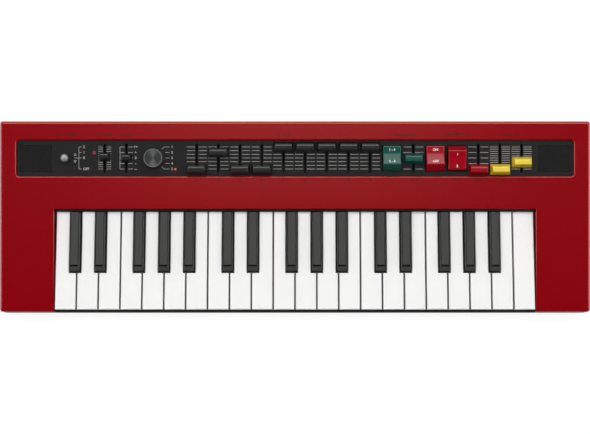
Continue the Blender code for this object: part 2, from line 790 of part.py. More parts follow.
def slider_colour(name):
    if name.startswith("vibrato"):
        return "green cap plastic"
    if name.startswith("percussion"):
        return "red cap plastic"
    if name in ("drive_slider", "reverb_slider"):
        return "yellow cap plastic"
    return "slate cap plastic"


def slider_shape(width, depth, height):
    """The crest of a cap stands a little behind its middle."""
    shape = stacked(cap_sections(width, depth, height))
    for corner in shape.verts:
        if corner.co.z > height - OVERLAP:
            corner.co.y += depth * CREST_BACK_SHARE
    return shape


def make_sliders(row):
    large = (CAP_WIDTH, CAP_DEPTH, CAP_HEIGHT)
    small = (SMALL_CAP_WIDTH, SMALL_CAP_DEPTH, SMALL_CAP_HEIGHT)
    for name, (place, setting) in SLIDERS.items():
        shape = slider_shape(*(small if name in SMALL_SLIDERS else large))
        part(name, shape, slider_colour(name), row, (place_x(place), setting, 0))
    tie = box(
        (place_x(TIED_PLACES[0]), place_x(TIED_PLACES[-1])),
        (-TIE_BAR_DEPTH / 2, TIE_BAR_DEPTH / 2),
        (SEAT_GAP - TRACK_DROP, -PANEL_THICK - RUNNING_GAP),
    )
    tied = part("drawbars_5_to_9", tie, "slate cap plastic", row, (0, DRAWBAR_IN, 0))
    for place in TIED_PLACES:
        spot = (place_x(place), DRAWBAR_IN, 0)
        join(tied, helper(f"tied_slider_{place}", slider_shape(*large), row, spot))


def make_rockers(row):
    """Each rocker is one profile drawn across its pivot and extruded along it."""
    half = ROCKER_LENGTH / 2
    hollow = []
    for step in range(ROCKER_HOLLOW_STEPS + 1):
        share = 2 * step / ROCKER_HOLLOW_STEPS - 1
        place = ROCKER_REAR_CREST - (ROCKER_REAR_CREST + ROCKER_FRONT_CREST) * (share + 1) / 2
        hollow.append((place, ROCKER_CREST_HEIGHT - ROCKER_HOLLOW * (1 - share * share)))
    profile = [
        (ROCKER_BOTTOM_LENGTH / 2, -ROCKER_BOTTOM),
        (half - RUNNING_GAP, 0),
        (half, ROCKER_END_HEIGHT),
        *hollow,
        (-half, ROCKER_END_HEIGHT),
        (RUNNING_GAP - half, 0),
        (-ROCKER_BOTTOM_LENGTH / 2, -ROCKER_BOTTOM),
    ]
    upright = Matrix.Rotation(math.pi / 2, 4, "Z") @ Matrix.Rotation(math.pi / 2, 4, "X")
    for name, (place, tilt) in ROCKERS.items():
        shape = outlined(profile, -ROCKER_WIDTH / 2, ROCKER_WIDTH / 2)
        bmesh.ops.transform(shape, matrix=upright, verts=shape.verts[:])
        rocker = part(name, shape, slider_colour(name), row, (place_x(place), 0, -ROCKER_PIVOT_DROP))
        rocker.rotation_euler = (tilt, 0, 0)


def make_knob(row):
    profile = [
        (0, KNOB_HEIGHT - KNOB_DISH),
        (KNOB_TOP_RADIUS - 2 * KNOB_CHAMFER, KNOB_HEIGHT - KNOB_DISH),
        (KNOB_TOP_RADIUS - KNOB_CHAMFER, KNOB_HEIGHT),
        (KNOB_TOP_RADIUS, KNOB_HEIGHT - KNOB_CHAMFER),
        (KNOB_RADIUS, KNOB_LIFT),
        (SHAFT_RADIUS, KNOB_LIFT),
        (SHAFT_RADIUS, -SHAFT_DROP),
        (0, -SHAFT_DROP),
    ]
    turned("voice_knob", profile, "slate cap plastic", row, (place_x(KNOB_PLACE), 0, 0))


def make_lever(row):
    """A ball-ended lever that rocks on a ball at its foot."""
    tip = LEVER_REACH
    neck_angle = math.asin(LEVER_NECK / LEVER_BALL)
    arc_steps = 7
    profile = []
    for step in range(arc_steps + 1):
        angle = (math.pi - neck_angle) * step / arc_steps
        profile.append((LEVER_BALL * math.sin(angle), tip + LEVER_BALL * math.cos(angle)))
    foot_flat = LEVER_ROOT * math.sqrt(0.5)
    profile += [(LEVER_ROOT, LEVER_PIVOT_DROP), (LEVER_ROOT, 0)]
    profile += [(foot_flat, -foot_flat), (0, -LEVER_ROOT)]
    turned("speed_lever", profile, "bright metal", row, (LEVER_X, 0, -LEVER_PIVOT_DROP))


def make_main_board(row):
    """The sloping circuit board with the slide tracks, switch bases and rear sockets soldered to it."""
    ends = (LEVER_X - BOARD_END, LAST_X + BOARD_END)
    plate = box(ends, (-BOARD_DEPTH / 2, BOARD_DEPTH / 2), (-BOARD_BOTTOM, -BOARD_DROP))
    board = part("main_board", plate, "green circuit board", row)
    foot = -BOARD_DROP - BOARD_THICK / 2
    mounted = bmesh.new()
    slots = bmesh.new()
    track_length = SLOT_LENGTH + 2 * TRACK_MARGIN
    for place in [place for place, _ in SLIDERS.values()] + list(TIED_PLACES):
        add_box_at(mounted, place_x(place), 0, TRACK_WIDTH, track_length, (foot, -TRACK_DROP))
        add_box_at(slots, place_x(place), 0, SLOT_WIDTH, SLOT_LENGTH, (-TRACK_SLOT_DROP, 0))
    for place, _ in ROCKERS.values():
        base = (foot, -SWITCH_BASE_DROP)
        add_box_at(mounted, place_x(place), 0, SWITCH_BASE_WIDTH, SWITCH_BASE_LENGTH, base)
    selector_top = -SHAFT_DROP - SEAT_GAP
    add_box_at(mounted, place_x(KNOB_PLACE), 0, SELECTOR_SIZE, SELECTOR_SIZE, (foot, selector_top))
    lever_top = -LEVER_PIVOT_DROP - LEVER_ROOT - SEAT_GAP
    add_box_at(mounted, LEVER_X, 0, SELECTOR_SIZE, SELECTOR_SIZE, (foot, lever_top))
    ridges = bmesh.new()
    ridge = (-SWITCH_BASE_DROP - OVERLAP, -ROCKER_PIVOT_DROP - ROCKER_BOTTOM - SEAT_GAP)
    for place, _ in ROCKERS.values():
        add_box_at(ridges, place_x(place), 0, SWITCH_BASE_WIDTH / 2, SWITCH_RIDGE, ridge)

    bodies = bmesh.new()
    for x in (*JACK_PLACES, DATA_PORT_PLACE):
        add_box(
            bodies,
            (x - SOCKET_BODY / 2, x + SOCKET_BODY / 2),
            (SOCKET_Y, SOCKET_Y + SOCKET_LENGTH),
            (SOCKET_Z - SOCKET_BODY / 2, SOCKET_TOP),
        )
    barrels = socket_shapes(0, (SOCKET_Y + SOCKET_LENGTH - OVERLAP, SOCKET_BACK_Y))
    join(
        board,
        helper("mounted_parts", mounted, row),
        helper("switch_ridges", ridges, row),
        helper("socket_bodies", bodies),
        helper("socket_barrels", barrels),
    )
    cut(board, helper("track_slots", slots, row), helper("socket_bores", socket_bores()))


def make_speakers(row):
    top = -PANEL_THICK - SEAT_GAP
    bottom = top - SPEAKER_DEPTH
    magnet_top = bottom + SPEAKER_MAGNET
    cap_radius = SPEAKER_NECK_RADIUS / 2
    profile = [
        (0, top - SPEAKER_CONE_DEPTH / 2),
        (cap_radius, top - SPEAKER_CONE_DEPTH),
        (SPEAKER_CONE_RADIUS, top - SPEAKER_CONE_DEPTH / 4),
        (SPEAKER_CONE_RADIUS, top),
        (SPEAKER_RADIUS, top),
        (SPEAKER_RADIUS, top - SPEAKER_FLANGE),
        (SPEAKER_CONE_RADIUS, top - SPEAKER_FLANGE),
        (SPEAKER_NECK_RADIUS, magnet_top),
        (SPEAKER_MAGNET_RADIUS, magnet_top),
        (SPEAKER_MAGNET_RADIUS, bottom),
        (0, bottom),
    ]
    middle = PANEL_HALF - SPEAKER_INSET
    turned("speaker_left", profile, "dark speaker paper", row, (-middle, 0, 0))
    turned("speaker_right", profile, "dark speaker paper", row, (middle, 0, 0))


def make_keybed_frame():
    """The frame under the keys: pivot rail at the back, stop rail in front, bridge over the tails."""
    bottom = FLOOR_TOP + SEAT_GAP
    plate_top = bottom + FRAME_PLATE
    root = plate_top - FRAME_PLATE / 2
    half = OPENING_HALF + WALL + SEAT_GAP + BRIDGE_POST
    key_half = KEYS_HALF - WHITE_GAP
    back = TAIL_Y + OVERLAP
    rail_front = KEY_FRONT_Y + FRONT_RAIL_SETBACK
    dip_at_rail = (PIVOT_Y - rail_front) * math.sin(KEY_SWING)
    bridge_top = deck_height(STRIP_Y) - WALL_UPRIGHT - SEAT_GAP
    bridge_bottom = WHITE_TOP + BRIDGE_CLEARANCE
    bridge_back = DECK_EDGE_Y + BRIDGE_DEPTH

    frame = part(
        "keybed_frame", box((-half, half), (rail_front - OVERLAP, back), (bottom, plate_top)),
        "grey frame plastic",
    )
    stop_rail = box(
        (-key_half, key_half),
        (rail_front, rail_front + FRONT_RAIL),
        (root, KEY_BOTTOM - dip_at_rail - RUNNING_GAP),
    )
    pivot_rail = box(
        (-key_half, key_half), (PIVOT_Y - PIVOT_RAIL / 2, PIVOT_Y + PIVOT_RAIL / 2), (root, PIVOT_Z)
    )
    lip_half = OPENING_HALF - SEAT_GAP
    strip = box((-lip_half, lip_half), (STRIP_Y, DECK_EDGE_Y + OVERLAP), (bridge_bottom, bridge_top))
    bridge = box(
        (-half, half),
        (DECK_EDGE_Y + SEAT_GAP, bridge_back),
        (bridge_bottom + SEAT_GAP, bridge_top - SEAT_GAP),
    )
    posts = bmesh.new()
    for side in (-1, 1):
        across = sorted((side * (half - BRIDGE_POST), side * half))
        add_box(
            posts, across, (DECK_EDGE_Y + OVERLAP, bridge_back - OVERLAP), (root, bridge_top - OVERLAP)
        )
    join(
        frame,
        helper("stop_rail", stop_rail),
        helper("pivot_rail", pivot_rail),
        helper("bridge_posts", posts),
        helper("bridge", bridge),
        helper("strip", strip),
    )


def main():
    clear_scene()
    new_collection("electronic organ")
    new_collection("cutters")
    row = empty("control_row", ROW_CENTRE, TILT)
    make_upper_case(row)
    make_lower_case()
    make_keybed_frame()
    make_keys()
    make_control_panel(row)
    make_main_board(row)
    make_speakers(row)
    make_sliders(row)
    make_rockers(row)
    make_knob(row)
    make_lever(row)


if __name__ == "__main__":
    main()
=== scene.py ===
import json
import math

import bmesh
import bpy
from mathutils import Matrix, Vector


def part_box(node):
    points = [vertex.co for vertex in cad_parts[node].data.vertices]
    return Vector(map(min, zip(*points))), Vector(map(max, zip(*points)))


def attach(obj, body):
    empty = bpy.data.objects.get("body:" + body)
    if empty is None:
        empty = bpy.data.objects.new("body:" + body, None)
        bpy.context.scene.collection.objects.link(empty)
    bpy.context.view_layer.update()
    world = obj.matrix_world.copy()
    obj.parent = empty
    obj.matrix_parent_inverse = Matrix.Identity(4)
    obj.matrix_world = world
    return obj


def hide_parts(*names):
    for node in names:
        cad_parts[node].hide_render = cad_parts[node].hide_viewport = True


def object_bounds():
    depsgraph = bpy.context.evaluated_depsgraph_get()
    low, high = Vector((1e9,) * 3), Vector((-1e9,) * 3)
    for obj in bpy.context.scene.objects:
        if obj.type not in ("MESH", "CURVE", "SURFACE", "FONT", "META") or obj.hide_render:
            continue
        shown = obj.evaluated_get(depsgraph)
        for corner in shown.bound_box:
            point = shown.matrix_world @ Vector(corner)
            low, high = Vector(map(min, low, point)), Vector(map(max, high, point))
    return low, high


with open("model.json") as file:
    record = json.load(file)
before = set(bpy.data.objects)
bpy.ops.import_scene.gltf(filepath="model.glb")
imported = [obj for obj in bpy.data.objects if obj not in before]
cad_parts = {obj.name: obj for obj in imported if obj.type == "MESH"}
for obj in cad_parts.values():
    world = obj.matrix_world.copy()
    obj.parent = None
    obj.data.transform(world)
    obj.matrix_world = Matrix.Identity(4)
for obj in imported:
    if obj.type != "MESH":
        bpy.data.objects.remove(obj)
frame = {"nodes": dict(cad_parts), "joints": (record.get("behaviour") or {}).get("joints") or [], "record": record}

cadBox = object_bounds()
mm = 0.001
hair = 0.001 * mm  # points closer than this are one
near = 0.1 * mm  # slack when corners and edges are picked by their place
nodes = frame["nodes"]
joints = {joint["name"]: joint for joint in frame["joints"]}

# The panel's own frame: x along the case, y up the slope, z out of the panel's face
slope = Vector(joints["volume_slider_travel"]["axis"])
tilt = math.atan2(slope.z, slope.y)
panelMiddle = Vector(joints["voice_knob_turn"]["pos_m"])
panelFrame = Matrix.Translation((0, panelMiddle.y, panelMiddle.z)) @ Matrix.Rotation(tilt, 4, "X")
fromPanel = panelFrame.inverted()
deckLift = 2.8 * mm  # the deck stands this far above the panel's face
deckPoint = panelFrame @ Vector((0, 0, deckLift))
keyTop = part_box("key_01_c")[1].z


def inMm(**sizes):
    # settings given in millimetres, one by one or in a row
    return {
        name: tuple(part * mm for part in size) if isinstance(size, tuple) else size * mm
        for name, size in sizes.items()
    }


def deckHeight(y):
    return deckPoint.z + (y - deckPoint.y) * math.tan(tilt)


def panelBox(node):
    # lowest and highest corner of a CAD node in the panel's frame
    points = [fromPanel @ corner.co for corner in nodes[node].data.vertices]
    low = Vector([min(point[axis] for point in points) for axis in range(3)])
    high = Vector([max(point[axis] for point in points) for axis in range(3)])
    return low, high


# Modelling helpers

def objectMode():
    bpy.ops.object.mode_set(mode="OBJECT")


def deselect():
    # leaves edit mode first
    if bpy.context.mode != "OBJECT":
        objectMode()
    bpy.ops.object.select_all(action="DESELECT")


def only(obj):
    deselect()
    obj.select_set(True)
    bpy.context.view_layer.objects.active = obj


def editAll(obj):
    # goes into edit mode with the whole mesh selected
    only(obj)
    bpy.ops.object.mode_set(mode="EDIT")
    bpy.ops.mesh.select_all(action="SELECT")


def applyPlace():
    bpy.ops.object.transform_apply(location=True, rotation=True, scale=True)


def discard(obj):
    bpy.data.objects.remove(obj, do_unlink=True)


def newest(name):
    # the primitive just added, named and with its place in its mesh
    made = bpy.context.object
    made.name = name
    applyPlace()
    return made


def newCube(name, low, high):
    deselect()
    low, high = Vector(low), Vector(high)
    bpy.ops.mesh.primitive_cube_add(size=1, location=(low + high) / 2, scale=high - low)
    return newest(name)


def newCylinder(name, radius, bottom, top, sides=48, place=(0, 0)):
    deselect()
    bpy.ops.mesh.primitive_cylinder_add(
        vertices=sides, radius=radius, depth=top - bottom, location=(*place, (bottom + top) / 2)
    )
    return newest(name)


def middle(item):
    return sum((corner.co for corner in item.verts), Vector()) / len(item.verts)


def span(edge):
    return edge.verts[1].co - edge.verts[0].co


def isSharp(edge, least=40):
    # whether the faces that meet at an edge turn by more degrees
    return math.degrees(edge.calc_face_angle(0)) > least


def isUpright(edge):
    return abs(span(edge).z) > near


def facesUp(face):
    return face.normal.z > 0.9


def facesDown(face):
    return face.normal.z < -0.9


def pick(obj, kind, test):
    # goes into edit mode with only what passes the test selected
    editAll(obj)
    bpy.ops.mesh.select_mode(type=kind)
    bpy.ops.mesh.select_all(action="DESELECT")
    shape = bmesh.from_edit_mesh(obj.data)
    for item in {"VERT": shape.verts, "EDGE": shape.edges, "FACE": shape.faces}[kind]:
        if test(item):
            item.select_set(True)
    shape.select_flush_mode()
    bmesh.update_edit_mesh(obj.data)


def roundEdges(obj, test, width, steps=2):
    pick(obj, "EDGE", test)
    bpy.ops.mesh.bevel(offset=width, segments=steps, profile=0.5, affect="EDGES")
    objectMode()


def insetFaces(obj, test, *steps):
    # each step is a width and a depth
    pick(obj, "FACE", test)
    for width, depth in steps:
        bpy.ops.mesh.inset(thickness=width, depth=depth)


def drawOut(move, size=(1, 1, 1)):
    # extrudes what is selected, then resizes its far end
    bpy.ops.mesh.extrude_region_move(TRANSFORM_OT_translate={"value": move})
    bpy.ops.transform.resize(value=size, center_override=(0, 0, 0))


def applied(obj, kind, **settings):
    only(obj)
    step = obj.modifiers.new(kind.lower(), kind)
    for name, value in settings.items():
        setattr(step, name, value)
    bpy.ops.object.modifier_apply(modifier=step.name)


def cut(obj, *tools):
    for tool in tools:
        applied(obj, "BOOLEAN", operation="DIFFERENCE", solver="EXACT", object=tool)
        discard(tool)


def copyOf(obj, name):
    deselect()
    made = obj.copy()
    made.data = obj.data.copy()
    made.name = name
    bpy.context.scene.collection.objects.link(made)
    return made


def joined(objects, name):
    deselect()
    for obj in objects:
        obj.select_set(True)
    bpy.context.view_layer.objects.active = objects[0]
    applyPlace()
    bpy.ops.object.join()
    objects[0].name = name
    return objects[0]


def placed(obj, matrix):
    obj.matrix_world = matrix
    only(obj)
    applyPlace()
    return obj


def onPanel(obj, x=0, y=0, z=0):
    return placed(obj, panelFrame @ Matrix.Translation((x, y, z)))


def weld(obj):
    editAll(obj)
    bpy.ops.mesh.remove_doubles(threshold=hair)
    bpy.ops.mesh.normals_make_consistent(inside=False)
    objectMode()


def breakEdges(obj, width, steps=3, angle=25):
    applied(obj, "BEVEL", width=width, segments=steps, limit_method="ANGLE", angle_limit=math.radians(angle))


def mergedCopy(node, name):
    # a CAD node's shape with its triangles merged into flat faces
    made = copyOf(nodes[node], name)
    for key in list(made.keys()):
        del made[key]
    made.parent = None
    weld(made)
    editAll(made)
    bpy.ops.mesh.dissolve_limited(angle_limit=math.radians(0.5))
    objectMode()
    return made


def dress(obj, finish):
    obj.data.materials.clear()
    obj.data.materials.append(finishes[finish])


def finishPiece(obj, finish, body="case", stands=(), angle=35):
    weld(obj)
    bpy.ops.object.shade_smooth_by_angle(angle=math.radians(angle))
    applied(obj, "WEIGHTED_NORMAL", keep_sharp=True)
    dress(obj, finish)
    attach(obj, body)
    if stands:
        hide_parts(*stands)


# Shader helpers

def arithmetic(operation):
    return lambda self, other: self.maths(operation, self, other)


class Wire:
    # a shader socket that takes part in plain arithmetic
    def __init__(self, tree, socket=None):
        self.tree = tree
        self.socket = socket

    def node(self, kind, settings, inputs, output=0):
        made = self.tree.nodes.new(kind)
        for name, value in settings.items():
            setattr(made, name, value)
        for name, value in inputs.items():
            if isinstance(value, Wire):
                self.tree.links.new(value.socket, made.inputs[name])
            else:
                made.inputs[name].default_value = value
        return Wire(self.tree, made.outputs[output])

    def maths(self, operation, first, second=0.0):
        return self.node("ShaderNodeMath", {"operation": operation}, {0: first, 1: second})

    def axis(self, name):
        return self.node("ShaderNodeSeparateXYZ", {}, {"Vector": self}, name)

    def capped(self):
        return self.maths("MINIMUM", self, 1.0)

    def into(self, socket):
        self.tree.links.new(self.socket, socket)

    def __abs__(self):
        return self.maths("ABSOLUTE", self)

    __add__ = __radd__ = arithmetic("ADD")
    __mul__ = __rmul__ = arithmetic("MULTIPLY")
    __sub__ = arithmetic("SUBTRACT")
    __gt__ = arithmetic("GREATER_THAN")
    __lt__ = arithmetic("LESS_THAN")


def grey(value):
    return (value, value, value, 1)


def greys(*stops):
    return [(place, grey(value)) for place, value in stops]


def newFinish(name, shine=0.5, fixed=None):
    # a wire that also knows its material and the inputs of its shader
    made = bpy.data.materials.new(name)
    made.use_nodes = True
    wire = Wire(made.node_tree)
    wire.made, wire.inputs = made, made.node_tree.nodes["Principled BSDF"].inputs
    for socket, value in {"Specular IOR Level": shine, **(fixed or {})}.items():
        wire.inputs[socket].default_value = value
    return wire


def blended(wire, factor, first, second, kind="MIX"):
    settings = {"data_type": "RGBA", "blend_type": kind}
    return wire.node("ShaderNodeMix", settings, {0: factor, 6: first, 7: second}, 2)


def ramped(wire, stops, factor):
    made = wire.node("ShaderNodeValToRGB", {}, {"Fac": factor})
    elements = made.socket.node.color_ramp.elements
    while len(elements) < len(stops):
        elements.new(0.5)
    for element, stop in zip(elements, stops):
        element.position, element.color = stop
    return made


def objectPlace(wire):
    return wire.node("ShaderNodeTexCoord", {}, {}, "Object")


def facing(wire, axis):
    # one part of the direction that the surface faces
    return wire.node("ShaderNodeTexCoord", {}, {}, "Normal").axis(axis)


def panelPlace(wire, about=(0, 0, 0)):
    # object coordinates turned into the panel's frame, about a point of it
    return wire.node(
        "ShaderNodeMapping", {"vector_type": "TEXTURE"},
        {"Vector": objectPlace(wire), "Location": panelFrame @ Vector(about), "Rotation": (tilt, 0, 0)},
    )


def noise(wire, place, scale, detail=2.0):
    return wire.node("ShaderNodeTexNoise", {}, {"Vector": place, "Scale": scale, "Detail": detail})


def painted(wire, colour, rough, skin=None, depth=0):
    # a skin stands out by its depth, in millimetres
    colour.into(wire.inputs["Base Color"])
    rough.into(wire.inputs["Roughness"])
    if depth:
        bump = wire.node("ShaderNodeBump", {}, {"Strength": 1.0, "Distance": depth * mm, "Height": skin})
        bump.into(wire.inputs["Normal"])
    return wire.made


def moulded(
    name, light, dark, rough, grain, depth, shine=0.5, fixed=None, clouds=(40, 4), swing=(0.12, 0.10)
):
    # moulded plastic: faintly clouded colour, a fine skin and a roughness that follows both
    wire = newFinish(name, shine, fixed)
    place = objectPlace(wire)
    cloud = noise(wire, place, *clouds)
    skin = noise(wire, place, grain)
    rough = rough + (cloud - 0.5) * swing[0] + (skin - 0.5) * swing[1]
    return painted(wire, blended(wire, cloud, light, dark), rough, skin, depth)


def speckled(name, first, second, speck, rough, swing, shine=0.5, fixed=None, depth=0):
    # one fine noise moves the colour and the roughness, and raises a skin where it has a depth
    wire = newFinish(name, shine, fixed)
    grain = noise(wire, objectPlace(wire), *speck)
    colour = blended(wire, grain, first, second)
    return painted(wire, colour, rough + (grain - 0.5) * swing, grain, depth)


def brightMetal(name, colour, rough):
    return speckled(name, colour, grey(0.6), (500, 3), rough, 0.10, fixed={"Metallic": 1.0})


def printedInk(name, colour, worn):
    return speckled(name, colour, worn, (2500,), 0.6, 0.2, 0.1)


# Finishes of the keys and the dark caps

keyFinish = {
    # the pale satin colour of the tops is partly a painted sheen of the overhead light
    "blackSatinSheen": ((0.0570, 0.0575, 0.0552, 1), (0.0500, 0.0505, 0.0487, 1)),
    # the dark colour where the mask below applies is painted shade and shadow, not the plastic's own colour
    "blackPolishedShade": (0.0065, 0.0066, 0.0062, 1),
    "polishedShadedSide": 0.22,  # polished, and painted dark as shade, where a face leans further to the side,
    "polishedShadedFold": (-0.74, -0.12),  # leans to the front between these,
    "polishedShadedFoot": 1.4 * mm,  # or is less than this above the white keys
    "whiteTop": ((0.885, 0.885, 0.872, 1), (0.865, 0.865, 0.850, 1)),
    # the side walls' grey is painted shade for the gaps between keys
    "whiteWallShade": (0.36, 0.36, 0.35, 1),
    "roughShadedWall": 0.6,
    "wallRough": 0.3,
}
capSkin = {
    "colours": ((0.0165, 0.0165, 0.0170, 1), (0.0130, 0.0130, 0.0135, 1)),
    "frontLean": -0.4,
    "frontRough": 0.45,
}


def satinKey():
    # the flats are textured and pale with a painted sheen; the steep sides, the fold and the foot are polished and
    # painted dark as shade
    wire = newFinish("key_black", 0.12)
    place = objectPlace(wire)
    along = facing(wire, "Y")
    foldLow, foldHigh = keyFinish["polishedShadedFold"]
    side = abs(facing(wire, "X")) > keyFinish["polishedShadedSide"]
    fold = (along < foldHigh) * (along > foldLow)
    foot = place.axis("Z") < keyTop + keyFinish["polishedShadedFoot"]
    # this mask lowers the roughness, and its dark colour is painted shade on the sides, the fold and the foot
    polishedShaded = (side + fold + foot).capped()
    skin = noise(wire, place, 2400)
    # the pale top colour is partly painted sheen
    satin = blended(wire, skin, *keyFinish["blackSatinSheen"])
    rough = 0.38 + (skin - 0.5) * 0.12 - polishedShaded * 0.10
    return painted(wire, blended(wire, polishedShaded, satin, keyFinish["blackPolishedShade"]), rough, skin, 0.008)


def whiteKey():
    # polished tops between rough side walls that are painted grey as shade, to darken the gaps between the keys
    wire = newFinish("key_white", 0.3)
    place = objectPlace(wire)
    # side walls get more roughness and a painted shade colour
    roughShadedWall = abs(facing(wire, "X")) > keyFinish["roughShadedWall"]
    cloud = noise(wire, place, 40, 4)
    skin = noise(wire, place, 2200)
    top = blended(wire, cloud, *keyFinish["whiteTop"])
    rough = 0.26 + (cloud - 0.5) * 0.12 + (skin - 0.5) * 0.10 + roughShadedWall * keyFinish["wallRough"]
    return painted(wire, blended(wire, roughShadedWall, top, keyFinish["whiteWallShade"]), rough, skin, 0.002)


def slateCap():
    # smooth on the crest, finely textured on the slope that faces the player
    wire = newFinish("cap_slate", 0.42)
    textured = facing(wire, "Y") < capSkin["frontLean"]
    skin = noise(wire, objectPlace(wire), 2400)
    rough = 0.19 + (skin - 0.5) * 0.10 + textured * capSkin["frontRough"]
    return painted(wire, blended(wire, skin, *capSkin["colours"]), rough, skin, 0.002)


# All finishes: a moulded one has two colours, a roughness, a grain, the grain's depth and a shine
finishes = {
    "red": moulded(
        "red_gloss", (0.271, 0.0006, 0.0050, 1), (0.251, 0.0004, 0.0042, 1), 0.08, 700, 0.002,
        0.6, {"IOR": 1.8, "Specular Tint": (1, 0.36, 0.30, 1)}, (9, 3), (0.03, 0.0),
    ),
    "base": moulded("black_grained", grey(0.016), grey(0.022), 0.52, 1600, 0.05),
    "panel": moulded(
        "panel_satin", (0.0155, 0.0151, 0.0149, 1), (0.0128, 0.0126, 0.0124, 1), 0.32, 2600, 0.004, 0.2,
    ),
    "white": whiteKey(),
    "black": satinKey(),
    "slate": slateCap(),
    "green": moulded(
        "cap_green", (0.008, 0.085, 0.060, 1), (0.006, 0.070, 0.050, 1), 0.09, 2400, 0.002, 0.35,
    ),
    "redCap": moulded("cap_red", (0.340, 0.004, 0.011, 1), (0.300, 0.003, 0.009, 1), 0.09, 2400, 0.002, 0.35),
    "yellow": moulded("cap_yellow", (0.82, 0.62, 0.040, 1), (0.78, 0.57, 0.030, 1), 0.20, 2400, 0.003, 0.4),
    "rubber": moulded("foot_rubber", grey(0.022), grey(0.032), 0.80, 1200, 0.03),
    "frame": moulded("frame_plastic", grey(0.005), grey(0.008), 0.6, 1500, 0.02, 0.12),
    "socket": moulded("socket_plastic", grey(0.014), grey(0.019), 0.45, 2000, 0.01),
    "satinMetal": moulded("lever_satin", grey(0.34), grey(0.25), 0.45, 1800, 0.01, fixed={"Metallic": 0.4}),
    "nickel": brightMetal("socket_nickel", (0.72, 0.69, 0.63, 1), 0.24),
    "steel": brightMetal("screw_steel", grey(0.14), 0.38),
    "ink": printedInk("pale_ink", grey(0.42), grey(0.34)),
    "darkInk": printedInk("dark_ink", (0.034, 0.008, 0.006, 1), (0.046, 0.010, 0.008, 1)),
    "capInk": printedInk("cap_ink", grey(0.75), grey(0.66)),
    "paper": speckled("speaker_paper", grey(0.020), grey(0.035), (1400, 5), 0.825, 0.15, depth=0.05),
}
print("finishes ready:", len(finishes))


# Red shell: a sloping block, rounded, hollowed and opened for the keys and the panel

shell = {
    **inMm(
        edgeRadius=2.1, rearRadius=3.2, wall=2.5, openingHalf=217.2, openingEdge=0.5,
        windowHalf=(251.2, 16.2), windowCut=(-3.0, 6.0), windowCorner=2.7, rimWidth=1.4, plateHalf=190.0,
        plateTop=41.2,
        rearLip=0.3,  # the shell laps this far over the base at the back
    ),
    "edgeSteps": 6, "rearSteps": 8, "cornerSteps": 6, "rimSteps": 4,
    "deckEdge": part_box("upper_case")[1].y - 78.4 * mm,
}


def slopedBlock(name, low, high, drop):
    # a block whose top follows the deck, lowered by a drop
    top = deckHeight(low[1]) - drop
    made = newCube(name, low, (high[0], high[1], top))
    pick(made, "VERT", lambda corner: corner.co.y > low[1] + mm and corner.co.z > top - mm)
    bpy.ops.transform.translate(value=(0, 0, (high[1] - low[1]) * math.tan(tilt)))
    return made


def shellRoom(low, high):
    # the hollow: one room behind the keys that runs forward into both cheeks
    wall = shell["wall"]
    inner = high.x - wall
    below = low.z - mm
    room = slopedBlock(
        "room_cutter", (-inner, low.y + wall, below), (inner, high.y - wall), wall / math.cos(tilt)
    )
    core = shell["openingHalf"] + wall
    cut(room, newCube("core_cutter", (-core, low.y, below - mm), (core, shell["deckEdge"] - mm, high.z)))
    return room


def panelWindow():
    halfX, halfY = shell["windowHalf"]
    bottom, top = shell["windowCut"]
    window = newCube("window_cutter", (-halfX, -halfY, bottom), (halfX, halfY, top))
    roundEdges(window, isUpright, shell["windowCorner"], shell["cornerSteps"])
    return onPanel(window)


def onDeck(edge):
    return all(abs((fromPanel @ corner.co).z - deckLift) < near for corner in edge.verts)


def onWindowRim(edge):
    halfX, halfY = shell["windowHalf"]
    points = [fromPanel @ corner.co for corner in edge.verts]
    inside = all(abs(point.x) < halfX + near and abs(point.y) < halfY + near for point in points)
    return inside and onDeck(edge)


def onOpeningEdge(edge):
    # edges where the walls of the key opening meet the outside of the shell
    atSide = all(abs(abs(corner.co.x) - shell["openingHalf"]) < near for corner in edge.verts)
    atBack = all(abs(corner.co.y - shell["deckEdge"]) < near for corner in edge.verts)
    outside = any(face.normal.z > 0.3 or face.normal.y < -0.9 for face in edge.link_faces)
    wall = any(abs(face.normal.x) > 0.99 or face.normal.y < -0.99 for face in edge.link_faces)
    return outside and wall and (atSide or atBack and onDeck(edge))


def makeShell():
    low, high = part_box("upper_case")
    high = high + Vector((0, shell["rearLip"], 0))
    body = slopedBlock("red_shell", low, high, 0)

    def atRearTop(edge):
        return min(corner.co.z for corner in edge.verts) > high.z - 2 * mm and abs(span(edge).x) > mm

    def aboveFoot(edge):
        return max(corner.co.z for corner in edge.verts) > low.z + mm and isSharp(edge)

    roundEdges(body, atRearTop, shell["rearRadius"], shell["rearSteps"])
    roundEdges(body, aboveFoot, shell["edgeRadius"], shell["edgeSteps"])
    half, below = shell["openingHalf"], low.z - 2 * mm
    opening = newCube("opening_cutter", (-half, low.y - mm, below), (half, shell["deckEdge"], high.z + mm))
    half = shell["plateHalf"]
    notch = newCube(
        "notch_cutter", (-half, high.y - 2 * shell["wall"], below), (half, high.y + mm, shell["plateTop"])
    )
    cut(body, shellRoom(low, high), opening, panelWindow(), notch)
    weld(body)
    roundEdges(body, onWindowRim, shell["rimWidth"], shell["rimSteps"])
    roundEdges(body, onOpeningEdge, shell["openingEdge"])
    finishPiece(body, "red", stands=["upper_case"])


makeShell()
print("red shell made")


# Black base with rubber feet, a battery lid and screws on its underside

